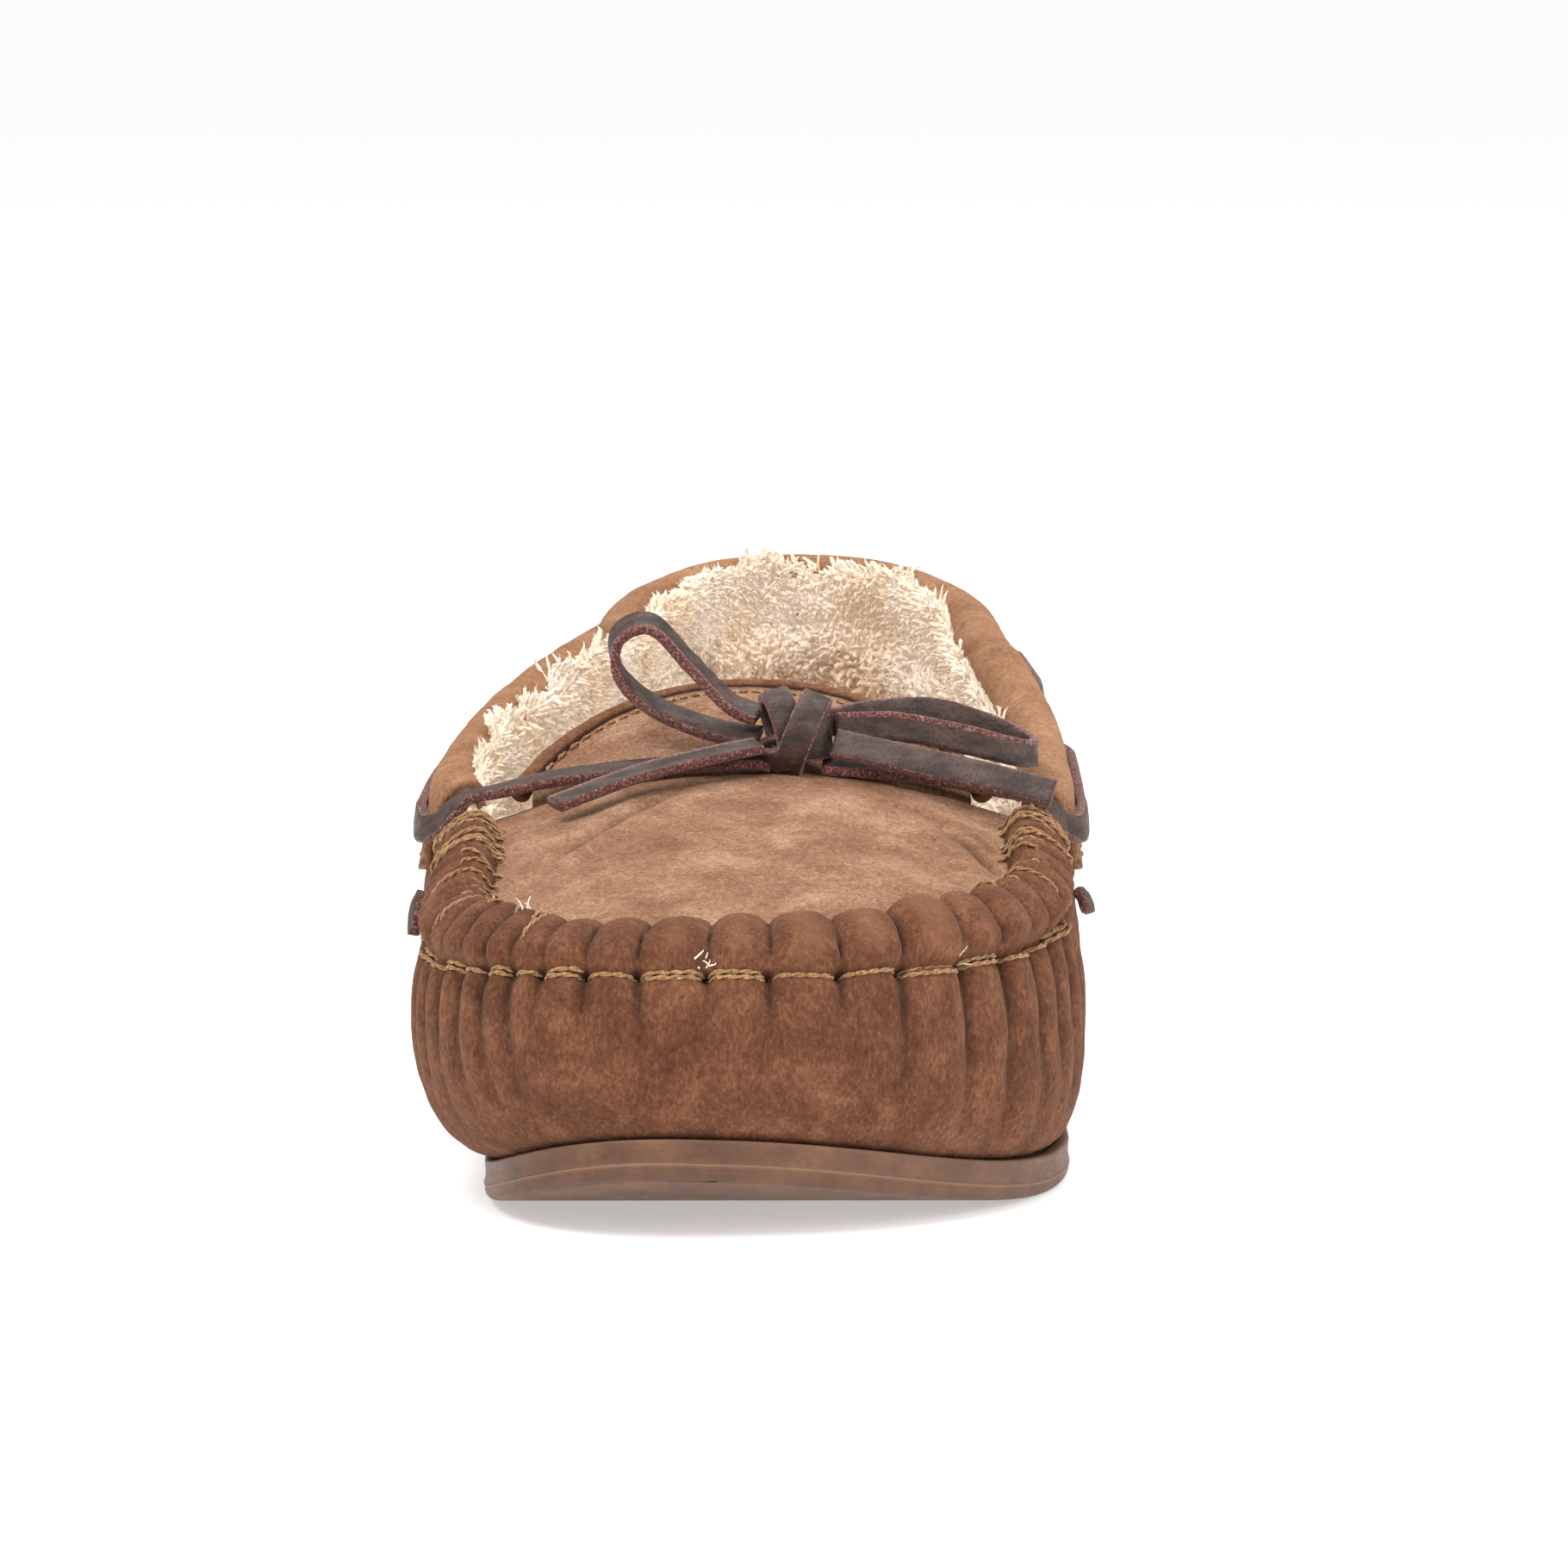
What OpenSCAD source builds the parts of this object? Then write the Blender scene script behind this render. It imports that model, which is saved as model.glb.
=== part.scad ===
// Left moccasin slipper: gathered suede upper, shearling lining, tied leather lace, rubber sole.
// The toe points to -Y and the heel to +Y. X is negative on the medial (big toe) side.
// The floor is z = 0, and the origin is under the middle of the shoe.

/* [Length and width] */
// Length of the upper from toe to heel
upper_len = 248; // [225:1:290]
// Half width of the upper at the ball of the foot
ball_half_w = 50; // [43:0.5:58]
// Half width of the upper at the heel
heel_half_w = 36.3; // [32:0.1:44]
// How far the toe tip leans to the medial side
toe_lean = 5; // [0:0.5:9]
// How far the heel sits to the lateral side
heel_lean = 8; // [0:0.5:12]
// Distance from the toe tip to the widest place
ball_s = 62; // [54:1:72]
// How far the medial ball sits ahead of the lateral ball, halved
ball_skew = 5; // [0:0.5:8]
// Distance from the toe tip to the throat, where the collar starts
throat_s = 100; // [92:1:112]
// Length of the round heel end
heel_len = 52; // [44:1:60]

/* [Heights] */
// Height of the gathered seam at the toe
seam_front_z = 43; // [38:0.5:50]
// Height of the gathered seam at the throat
seam_back_z = 49.5; // [44:0.5:58]
// Height of the collar at the throat
throat_z = 56; // [50:0.5:62]
// Height of the collar at the quarters
quarter_z = 71; // [64:0.5:84]
// Extra height of the collar at the back of the heel
heel_peak = 7; // [0:0.5:10]
// Height of the plug at its back edge, on the centre line
plug_back_z = 57.5; // [52:0.5:66]
// Height of the tongue's tip, on the centre line
tongue_tip_z = 68.5; // [62:0.5:78]

/* [Sole] */
// Half width of the outsole on the medial side of the ball
sole_medial_w = 39.4; // [34:0.1:46]
// Half width of the outsole on the lateral side of the ball
sole_lateral_w = 48; // [40:0.1:52]
// Half width of the outsole at the heel
sole_heel_w = 33.4; // [28:0.1:40]
// Setback of the outsole from the upper's toe tip
sole_front = 3; // [1:0.5:6]
// Setback of the outsole from the upper's heel
sole_back = 3.6; // [1:0.2:6]
// Thickness of the outsole under the forefoot
sole_t = 3.2; // [2.6:0.1:5]
// Extra thickness of the outsole under the heel
heel_rise = 2.8; // [1:0.1:5]
// Height of the outsole's rim above its floor
rim_h = 2.8; // [2:0.1:4]
// Width of the outsole's rim
rim_w = 2.4; // [1.8:0.1:3.5]
// How far the toe of the sole curves up
toe_spring = 9.4; // [5:0.1:11]
// Length of the sole that curves up
spring_len = 46; // [38:1:60]
// Size of the bevel under the outsole's edge
bevel = 1.6; // [0.8:0.1:2.2]
// Depth of the tread grooves
tread_depth = 1.4; // [0.8:0.1:2]
// Width of a tread groove
tread_w = 3; // [2:0.1:4]
// Distance between tread grooves
tread_pitch = 9; // [8:0.5:14]

/* [Leather and lining] */
// Thickness of the suede
suede_t = 1.5; // [1:0.1:2]
// Thickness of the shearling on the walls
shearling_t = 6.2; // [4:0.1:8]
// Thickness of the shearling under the plug and the tongue
top_shearling_t = 4.6; // [3:0.1:6]
// Thickness of the heel counter
counter_t = 1; // [0.6:0.1:1.4]
// Gap between layers
gap = 0.1; // [0.08:0.01:0.3]
// Clearance between the layers under the foot
layer_gap = 0.35; // [0.3:0.01:0.5]
// Clearance between the wrap and the lining behind it
lining_gap = 0.6; // [0.5:0.01:0.8]
// Width of the lasting margin folded under the upper
margin_w = 10; // [7:0.5:14]
// Thickness of the insole board
board_t = 1.5; // [1:0.1:2.5]
// Thickness of the footbed foam
foam_t = 3.5; // [2:0.1:6]
// Thickness of the footbed shearling
footbed_t = 5.8; // [4:0.1:8]

/* [Seam and plug] */
// Half width of the plug, between the gathered ridges
seam_half_w = 39; // [34:0.5:46]
// Distance from the toe tip to the plug's front edge
seam_front = 18; // [14:0.5:24]
// Distance between the stitches of the gathered seam
stitch_pitch = 9; // [7:0.5:12]
// Thickness of the seam thread
thread_d = 1; // [0.6:0.1:1.4]

/* [Collar] */
// Half width of the collar at the throat
throat_half_w = 49; // [44:0.5:56]
// Half width of the collar at the heel
heel_top_w = 32.5; // [28:0.5:38]
// Thickness of the cuff's suede
cuff_t = 1.2; // [0.8:0.1:1.6]
// Width of the folded cuff, over the lace channel
cuff_w = 5.6; // [5:0.1:6.6]
// Depth of the cuff on the outside
cuff_outer = 12; // [10:0.5:15]
// Depth of the cuff on the inside
cuff_inner = 7; // [5:0.5:9]
// Depth of the lace below the collar's fold
lace_depth = 4.6; // [3.8:0.1:6]

/* [Tongue] */
// Half width of the tongue at its root
tongue_half_w = 34; // [28:0.5:36]
// Length of the tongue from its root to its tip
tongue_len = 28; // [22:0.5:34]
// Diameter of the rolled binding
binding_d = 3.4; // [2.6:0.1:4.2]
// Clearance between the plug's edge and the tongue's root
root_gap = 1.2; // [1:0.1:2]

/* [Lace] */
// Width of the leather lace
lace_w = 4.5; // [3.6:0.1:5.4]
// Thickness of the leather lace
lace_t = 1.6; // [1.2:0.1:2]
// Length of a slit in the cuff
slit_len = 9; // [8:0.5:12]

/* [Hidden] */

medial = -1;
lateral = 1;
heel_s = upper_len - heel_len;          // where the round heel starts
plug_back = throat_s - 6.6;             // the plug's back edge
ridge_end = throat_s - 12;              // where the gathered ridge starts to open into the collar
ridge_join = 20;                        // length over which it opens
fold_r = (cuff_w + gap + cuff_t)/2;     // radius of the cuff's fold
cuff_start = throat_s + 2;              // front end of the cuff
root_s = plug_back + root_gap;          // the tongue's root

// Suede browns, shearling cream, rubber and lace colours
suede_colour = [0.60, 0.38, 0.22];
cuff_colour = [0.64, 0.43, 0.26];
fleece_colour = [0.93, 0.87, 0.76];
rubber_colour = [0.50, 0.36, 0.27];
board_colour = [0.72, 0.62, 0.45];
foam_colour = [0.90, 0.88, 0.80];
thread_colour = [0.78, 0.60, 0.36];
lace_colour = [0.24, 0.17, 0.15];

// ---------- curves ----------

function smooth(t) = let (c = min(max(t, 0), 1)) c*c*(3 - 2*c);
function mix(a, b, t) = a + (b - a)*t;
function unit(v) = v/max(norm(v), 1e-9);

// The shoe's middle line, which swings from the medial toe to the lateral heel
function middle(s) =
  -toe_lean*(1 - smooth(s/ball_s)) + heel_lean*smooth((s - throat_s - 8)/(heel_s + 2 - throat_s));

// A plan outline is [front, back, medial width, lateral width, heel width, toe power, heel power,
// width at the throat]. q runs from 0 at the toe through 1 at the ball and 2 at the heel to 3.
function inset(o, d) =
  [o[0] + d, o[1] - d, o[2] - d, o[3] - d, o[4] - d, o[5], o[6], is_undef(o[7]) ? undef : o[7] - d];
function outline(o, q, side) =
  let (
    a = 90*min(q, 1),
    b = 90*max(q - 2, 0),
    skew = q < skew_end ? side*ball_skew*sin(180*q/skew_end) : 0,
    s0 = q <= 1 ? ball_s - (ball_s - o[0])*pow(cos(a), 2/o[5])
      : q <= 2 ? mix(ball_s, heel_s, q - 1)
      : heel_s + (o[1] - heel_s)*pow(sin(b), 2/o[6]),
    s = s0 + skew,
    ball_w = side < 0 ? o[2] : o[3],
    wide = is_undef(o[7]) ? ball_w : mix(ball_w, o[7], smooth((s0 - ridge_end)/ridge_join)),
    waist = max(0, (s0 - throat_s)/(heel_s - throat_s)),
    half = q <= 1 ? ball_w*pow(sin(a), 2/o[5])
      : q <= 2 ? mix(wide, o[4], smooth(pow(waist, 1.4)))
      : o[4]*pow(cos(b), 2/o[6])
  )
  [middle(s) + side*half, s];
skew_end = 1.25;                        // where the ball's skew has died away, round from the toe

sole_outline =
  [sole_front, upper_len - sole_back, sole_medial_w, sole_lateral_w, sole_heel_w, 2.3, 2.1];
feather = inset(sole_outline, rim_w + 3*gap);
top_outline =
  [seam_front, upper_len - 6, seam_half_w, seam_half_w, heel_top_w, 2.5, 2.2, throat_half_w];
high_outline =
  [-1.5, upper_len + 2, ball_half_w + 0.5, ball_half_w + 0.5, heel_half_w + 2, 2.4, 2.2];
// The low handle makes the wall's middle reach the named widths and length
function low_handle(size, i) = (8*size - feather[i] - top_outline[i] - 3*high_outline[i])/3;
low_outline = [
  low_handle(0, 0), low_handle(upper_len, 1), low_handle(ball_half_w, 2),
  low_handle(ball_half_w, 3), low_handle(heel_half_w, 4), 2.4, 2.2
];

// Heights along the shoe
function sole_bottom(s) = toe_spring*pow(max(0, 1 - (s - sole_front)/spring_len), 2);
function floor_z(s) =
  sole_bottom(s) + sole_t + heel_rise*smooth((s - throat_s)/(heel_s - throat_s));
function rim_z(s) = floor_z(s) + rim_h;
function seam_z(s) = mix(seam_front_z, seam_back_z, smooth((s - 30)/(throat_s - 35)));
function collar_z(s) =
  mix(throat_z, quarter_z, smooth((s - throat_s)/(heel_s - 6 - throat_s)))
  + heel_peak*pow(min(max((s - heel_s - 4)/(heel_len - 7), 0), 1), 1.5) - fold_r;
function top_z(s) = mix(seam_z(s), collar_z(s), smooth((s - ridge_end)/ridge_join));

// The upper's outer surface. g runs round the shoe from 0 to 6, medial side first, and t runs
// from the sole at 0 to the seam or the collar at 1.
function q_of(g) = let (m = g - 6*floor(g/6)) m <= 3 ? m : 6 - m;
function side_of(g) = (g - 6*floor(g/6)) <= 3 ? medial : lateral;
function plan(o, g) = outline(o, q_of(g), side_of(g));
function lift(p, z) = [p[0], p[1] - upper_len/2, z];
function feather_z(s) = rim_z(s) + gap;
function skin(g, t) =
  let (
    p0 = plan(feather, g), p1 = plan(low_outline, g),
    p2 = plan(high_outline, g), p3 = plan(top_outline, g),
    z0 = feather_z(p0[1]),
    z1 = feather_z(p1[1]) + mix(2, 13, smooth((p1[1] - throat_s + 10)/60)),
    z3 = top_z(p3[1]),
    z2 = z3 + mix(8.5, -17, smooth((p3[1] - ridge_end + 3)/30)),
    u = 1 - t
  )
  u*u*u*lift(p0, z0) + 3*u*u*t*lift(p1, z1) + 3*u*t*t*lift(p2, z2) + t*t*t*lift(p3, z3);
function normal_at(g, t) =
  let (
    t0 = max(t - 0.02, 0), t1 = min(t + 0.02, 1),
    along = skin(g + 0.02, t) - skin(g - 0.02, t),
    up = skin(g, t1) - skin(g, t0)
  )
  unit(cross(up, along));
function offset_at(g, t, d) = skin(g, t) + d*normal_at(g, t);
function wall_h(g) = skin(g, 1)[2] - skin(g, 0)[2];
function s_at(g) = plan(top_outline, g)[1];
function g_of_s(s) = 1 + (s - ball_s)/(heel_s - ball_s);
// t at a depth below the collar's edge
function t_below(g, d) = 1 - d/wall_h(g);

// ---------- solids from grids of points ----------

function flat(rows) = [for (r = rows) for (p = r) p];
function quad(a, b, c, d) = [[a, b, c], [a, c, d]];
// A closed sheet between an outer and an inner grid. ring joins the last column to the first.
module sheet(outer, inner, ring = false) {
  rows = len(outer);
  cols = len(outer[0]);
  n = rows*cols;
  last = ring ? cols : cols - 1;
  function at(i, j) = i*cols + (j % cols);
  faces = [
    for (i = [0:rows - 2]) for (j = [0:last - 1])
      each quad(at(i, j), at(i, j + 1), at(i + 1, j + 1), at(i + 1, j)),
    for (i = [0:rows - 2]) for (j = [0:last - 1])
      each quad(n + at(i, j), n + at(i + 1, j), n + at(i + 1, j + 1), n + at(i, j + 1)),
    for (j = [0:last - 1]) each quad(at(0, j), n + at(0, j), n + at(0, j + 1), at(0, j + 1)),
    for (j = [0:last - 1])
      each quad(at(rows - 1, j), at(rows - 1, j + 1), n + at(rows - 1, j + 1), n + at(rows - 1, j)),
    if (!ring) for (i = [0:rows - 2]) each quad(at(i, 0), at(i + 1, 0), n + at(i + 1, 0), n + at(i, 0)),
    if (!ring) for (i = [0:rows - 2])
      each quad(at(i, cols - 1), n + at(i, cols - 1), n + at(i + 1, cols - 1), at(i + 1, cols - 1))
  ];
  polyhedron(points = concat(flat(outer), flat(inner)), faces = faces, convexity = 8);
}
// A bar through rings of points, closed at both ends with fans
module swept(rings) {
  n = len(rings[0]);
  m = len(rings);
  function at(i, j) = i*n + (j % n);
  faces = [
    for (i = [0:m - 2]) for (j = [0:n - 1])
      each quad(at(i, j), at(i, j + 1), at(i + 1, j + 1), at(i + 1, j)),
    for (j = [1:n - 2]) [at(0, 0), at(0, j + 1), at(0, j)],
    for (j = [1:n - 2]) [at(m - 1, 0), at(m - 1, j), at(m - 1, j + 1)]
  ];
  polyhedron(points = flat(rings), faces = faces, convexity = 8);
}
// A solid through closed loops of points, capped at the first and the last loop. Each loop
// starts at the toe, so points j and n - j face each other across the shoe.
module stack(loops) {
  n = len(loops[0]);
  m = len(loops);
  half = n/2;
  function at(i, j) = i*n + (j % n);
  function across(i, j) = at(i, n - j);
  faces = [
    for (i = [0:m - 2]) for (j = [0:n - 1])
      each quad(at(i, j), at(i, j + 1), at(i + 1, j + 1), at(i + 1, j)),
    for (j = [0:half - 1]) each quad(across(0, j), across(0, j + 1), at(0, j + 1), at(0, j)),
    for (j = [0:half - 1])
      each quad(at(m - 1, j), at(m - 1, j + 1), across(m - 1, j + 1), across(m - 1, j))
  ];
  whole = [for (f = faces) if (f[0] != f[1] && f[1] != f[2] && f[0] != f[2]) f];
  polyhedron(points = flat(loops), faces = whole, convexity = 6);
}
// A thin round rod between two points
module rod(a, b, d) {
  v = b - a;
  translate(a) rotate([0, acos(v[2]/norm(v)), atan2(v[1], v[0])])
    cylinder(d = d, h = norm(v), $fn = 6);
}

// A smooth curve through control points
function spline(p, i, u) =
  let (
    a = p[max(i - 1, 0)], b = p[i], c = p[i + 1], d = p[min(i + 2, len(p) - 1)]
  )
  0.5*(2*b + (c - a)*u + (2*a - 5*b + 4*c - d)*u*u + (3*b - a - 3*c + d)*u*u*u);
function curve(p, n) =
  [for (i = [0:len(p) - 2]) for (k = [0:n - 1]) spline(p, i, k/n), p[len(p) - 1]];
function tangent(p, i) = unit(p[min(i + 1, len(p) - 1)] - p[max(i - 1, 0)]);
// Rings of a flat strap along a path; faces are the directions its smooth face looks
function strap_rings(path, faces, w, t) = [
  for (i = [0:len(path) - 1])
    let (
      along = tangent(path, i),
      n = unit(faces[i] - along*(faces[i]*along)),
      side = cross(n, along)
    )
    [
      path[i] - side*w/2 + n*t/2, path[i] + side*w/2 + n*t/2,
      path[i] + side*w/2 - n*t/2, path[i] - side*w/2 - n*t/2
    ]
];
// Rings of a round cord along a path
function cord_rings(path, up, d, n = 6) = [
  for (i = [0:len(path) - 1])
    let (
      along = tangent(path, i),
      b = unit(up - along*(up*along)),
      a = cross(b, along)
    )
    [for (k = [0:n - 1]) path[i] + d/2*(b*cos(360*k/n) + a*sin(360*k/n))]
];

// ---------- the sole and the bottom ----------

round_q = 28;                            // points along each side of a plan loop
function loop_g() = [for (i = [0:2*round_q - 1]) 3*i/round_q];
function loop_at(o, z) = [for (g = loop_g()) let (p = plan(o, g)) lift(p, z(p[1]))];
under_rim = function (s) floor_z(s);
rim_top = function (s) rim_z(s);
sole_under = function (s) sole_bottom(s);
filler_low = function (s) floor_z(s) + layer_gap;
filler_high = function (s) floor_z(s) + layer_gap + suede_t;
board_low = function (s) filler_high(s) + layer_gap;
board_high = function (s) board_low(s) + board_t;
foam_low = function (s) board_high(s) + layer_gap;
foam_high = function (s) foam_low(s) + foam_t;
bed_low = function (s) foam_high(s) + layer_gap;
bed_high = function (s) bed_low(s) + footbed_t;

bevel_low = function (s) sole_bottom(s) + bevel;
module groove(s) {
  translate([0, s - upper_len/2, 0])
    hull() {
      translate([-upper_len/4, -tread_w/2, -1]) cube([upper_len/2, tread_w, 1]);
      translate([-upper_len/4, -tread_w/4, tread_depth - 0.2]) cube([upper_len/2, tread_w/2, 0.2]);
    }
}
module outsole() {
  color(rubber_colour) difference() {
    stack([
      loop_at(inset(sole_outline, bevel), sole_under), loop_at(sole_outline, bevel_low),
      loop_at(sole_outline, rim_top),
      loop_at(inset(sole_outline, rim_w), rim_top), loop_at(inset(sole_outline, rim_w), under_rim)
    ]);
    for (s = [sole_front + spring_len + tread_w:tread_pitch:upper_len - sole_back - tread_pitch])
      groove(s);
  }
}
module bottom_filler() {
  color(board_colour)
    stack([
      loop_at(inset(feather, margin_w + gap), filler_low),
      loop_at(inset(feather, margin_w + gap), filler_high)
    ]);
}
module insole_board() {
  color(board_colour)
    stack([
      loop_at(inset(feather, suede_t + gap), board_low),
      loop_at(inset(feather, suede_t + gap), board_high)
    ]);
}

// ---------- the gathered wrap ----------

g_end = g_of_s(ridge_end);
arc_steps = 60;
seam_arcs = [
  for (
    i = 0, a = 0;
    i <= arc_steps;
    a = a + norm(skin(g_end*(i + 1)/arc_steps, 1) - skin(g_end*i/arc_steps, 1)), i = i + 1
  ) [g_end*i/arc_steps, a]
];
seam_len = seam_arcs[arc_steps][1];
puckers = round(seam_len/stitch_pitch);  // gathers on each side of the toe
pucker_len = seam_len/puckers;
arc_to_g = [for (p = seam_arcs) [p[1], p[0]]];
function g_at_arc(a) = (a < 0 ? -1 : 1)*lookup(abs(a), arc_to_g);
function arc_of(g) = let (m = g > 3 ? 6 - g : abs(g)) lookup(m, seam_arcs);
pucker_h = 1.3;                          // how far a gather stands out
per_pucker = 4;                          // points across a gather
stitch_low = 0.62;                       // how far up the wall the seam thread runs at the toe
stitch_high = 0.86;                      // and at the ends of the seam
function stitch_t(g) = mix(stitch_low, stitch_high, smooth(abs(g)/g_end));
function gathered(g) = 1 - smooth((abs(g > 3 ? g - 6 : g) - g_end + 0.06)/0.06);
function pucker(g, t) =
  pucker_h*gathered(g)*(0.5 - 0.5*cos(360*arc_of(g)/pucker_len))
  * smooth((t - 0.4)/0.2)*(1 - smooth((t - 0.92)/0.08));

gather_g = [for (k = [-per_pucker*puckers:per_pucker*puckers]) g_at_arc(k*pucker_len/per_pucker)];
wall_steps = 44;
plain_g = [for (i = [1:wall_steps - 1]) mix(g_end, 6 - g_end, i/wall_steps)];
wrap_rows = [0.02, 0.12, 0.24, 0.38, 0.5, 0.6, 0.7, 0.8, 0.88, 0.94, 1];
wrap_drop = lace_depth + lace_w/2 + 2*gap;
g_cuff = g_of_s(cuff_start);
function in_cuff(g) = smooth((q_of(g) - g_cuff + 0.06)/0.05);
function wrap_top(g) = mix(1, t_below(g, wrap_drop), in_cuff(g));
function low_row(g, d, z) = let (p = plan(inset(feather, d), g)) lift(p, floor_z(p[1]) + z);
module vamp_wrap() {
  columns = concat(gather_g, plain_g);
  color(suede_colour)
    sheet(
      [
        [for (g = columns) low_row(g, margin_w, layer_gap)],
        [for (g = columns) low_row(g, 0, layer_gap)],
        [for (g = columns) skin(g, 0)],
        for (t = wrap_rows) [for (g = columns) offset_at(g, t*wrap_top(g), pucker(g, t))]
      ],
      [
        [for (g = columns) low_row(g, margin_w, layer_gap + suede_t)],
        [for (g = columns) low_row(g, suede_t, layer_gap + suede_t)],
        [for (g = columns) let (p = plan(inset(feather, suede_t), g)) lift(p, feather_z(p[1]) + suede_t)],
        for (t = wrap_rows) [for (g = columns) offset_at(g, t*wrap_top(g), -suede_t)]
      ],
      ring = true
    );
}

// ---------- the lining and the heel ----------

counter_g = 2;                           // where the counter starts, round from the toe
counter_room = counter_t + lining_gap/2;
function in_heel(g) = smooth((q_of(g) - counter_g)/0.12);
wall_out = suede_t + lining_gap;         // depth of the lining's back, where there is no counter
fleece_in = wall_out + shearling_t;      // depth of the fleece's face
under_cuff = cuff_w - lining_gap;        // depth of the fleece where the cuff squeezes it
bed_gap = 0.7;                           // clearance of the footbed inside the fleece
// The fleece's face, from the insole board upwards
function foot_row(g, d) =
  let (p = plan(inset(feather, d), g)) lift(p, board_high(p[1]) + layer_gap);
function face_points(g) = concat(
  [foot_row(g, fleece_in + counter_room*in_heel(g))],
  [for (i = [0:4]) offset_at(g, lining_t(g)[i], -lining_face(g, i))]
);
function on_face(p, z, i = 0) =
  i >= len(p) - 2 || p[i + 1][2] >= z
    ? mix(p[i], p[i + 1], (z - p[i][2])/(p[i + 1][2] - p[i][2]))
    : on_face(p, z, i + 1);
function along_s(p) = p[1] + upper_len/2;
// A point of the footbed's edge, where its level meets the fleece's face
function bed_point(g, level) =
  let (
    face = face_points(g),
    first = on_face(face, level(plan(feather, g)[1])),
    p = on_face(face, level(along_s(first))),
    n = normal_at(g, 0.3),
    q = p - bed_gap*unit([n[0], n[1], 0])
  )
  [q[0], q[1], level(along_s(q))];
function bed_loop(z) = [for (g = loop_g()) bed_point(g, z)];
module footbed_foam() {
  color(foam_colour) stack([bed_loop(foam_low), bed_loop(foam_high)]);
}
module footbed_shearling() {
  color(fleece_colour) stack([bed_loop(bed_low), bed_loop(bed_high)]);
}

lining_rows = [0.06, 0.12, 0.24, 0.38, 0.5, 0.6, 0.7, 0.8];
cuff_rows = [cuff_inner + 2.5, cuff_inner + 0.5, cuff_inner/2, 0.4];
function lining_t(g) =
  let (c = in_cuff(g))
  concat(
    lining_rows,
    [for (i = [0:3]) mix([0.86, 0.92, 0.96, 0.985][i], t_below(g, cuff_rows[i]), c)]
  );
function lining_back(g, i) = wall_out + (i > 8 ? in_cuff(g)*(lace_room - wall_out) : 0)
  + counter_room*in_heel(g)*(i < 8 ? 1 : 0);
function lining_face(g, i) =
  mix(fleece_in + counter_room*in_heel(g)*(i < 8 ? 1 : 0), under_cuff, i > 8 ? in_cuff(g) : 0);
lining_step = 0.08;
lace_room = lace_t + 5*gap;              // depth of the lace's channel inside the cuff
module wall_lining(side) {
  n = floor(3/lining_step);
  from = side < 0 ? gap/seam_half_w/2 : 3 + gap/heel_half_w/2;
  to = side < 0 ? 3 - gap/heel_half_w/2 : 6 - gap/seam_half_w/2;
  columns = [for (i = [0:n]) mix(from, to, i/n)];
  rows = [for (i = [0:11]) i];
  color(fleece_colour)
    sheet(
      [
        [for (g = columns) foot_row(g, wall_out + counter_room*in_heel(g))],
        for (i = rows) [for (g = columns) offset_at(g, lining_t(g)[i], -lining_back(g, i))]
      ],
      [
        [for (g = columns) foot_row(g, fleece_in + counter_room*in_heel(g))],
        for (i = rows) [for (g = columns) offset_at(g, lining_t(g)[i], -lining_face(g, i))]
      ]
    );
}
module wall_lining_medial() { wall_lining(medial); }
module wall_lining_lateral() { wall_lining(lateral); }

counter_top = 0.66;
module heel_counter() {
  columns = steps(counter_g + 0.16, 6 - counter_g - 0.16, 24);
  rows = steps(0.16, counter_top, 6);
  color(board_colour)
    sheet(
      [for (t = rows) [for (g = columns) offset_at(g, t, -wall_out)]],
      [for (t = rows) [for (g = columns) offset_at(g, t, -wall_out - counter_t)]]
    );
}
function steps(a, b, n) = [for (i = [0:n]) mix(a, b, i/n)];

backstay_half = 0.2;                     // half width of the heel strip, round the heel
module backstay() {
  columns = steps(3 - backstay_half, 3 + backstay_half, 10);
  rows = steps(0.06, t_below(3, cuff_outer + 0.6), 8);
  color(suede_colour)
    sheet(
      [for (t = rows) [for (g = columns) offset_at(g, t, 2*gap + cuff_t)]],
      [for (t = rows) [for (g = columns) offset_at(g, t, 2*gap)]]
    );
}

// ---------- the collar's folded cuff ----------

function up_at(g) = unit(skin(g, 1) - skin(g, 0.98));
function fold_point(g, angle, r) =
  let (n = normal_at(g, 1))
  skin(g, 1) + n*((gap - cuff_w)/2 + r*cos(angle)) + up_at(g)*r*sin(angle);
function cuff_line(g, out, in, r) = concat(
  [for (d = [cuff_outer, cuff_outer*0.66, cuff_outer*0.33]) offset_at(g, t_below(g, d), out)],
  [for (angle = [0:30:180]) fold_point(g, angle, r)],
  [for (d = [cuff_inner*0.5, cuff_inner]) offset_at(g, t_below(g, d), in)]
);
cuff_step = 0.07;
// Each window is [start, end] in distance from the toe; between its slits the lace lies outside
windows = [
  [throat_s - 20, throat_s + 40],
  [throat_s + 62, throat_s + 88],
  [upper_len - 32, upper_len - 16]
];
function collar_g(s, side) = side < 0 ? g_on_collar(s) : 6 - g_on_collar(s);
// The collar's own measure: g at a distance from the toe along its edge
function g_on_collar(s, lo = 1, hi = 3, n = 16) =
  n == 0 ? lo
  : let (m = (lo + hi)/2) s_at(m) < s ? g_on_collar(s, m, hi, n - 1) : g_on_collar(s, lo, m, n - 1);
slit_h = lace_w + 8*gap;
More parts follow.
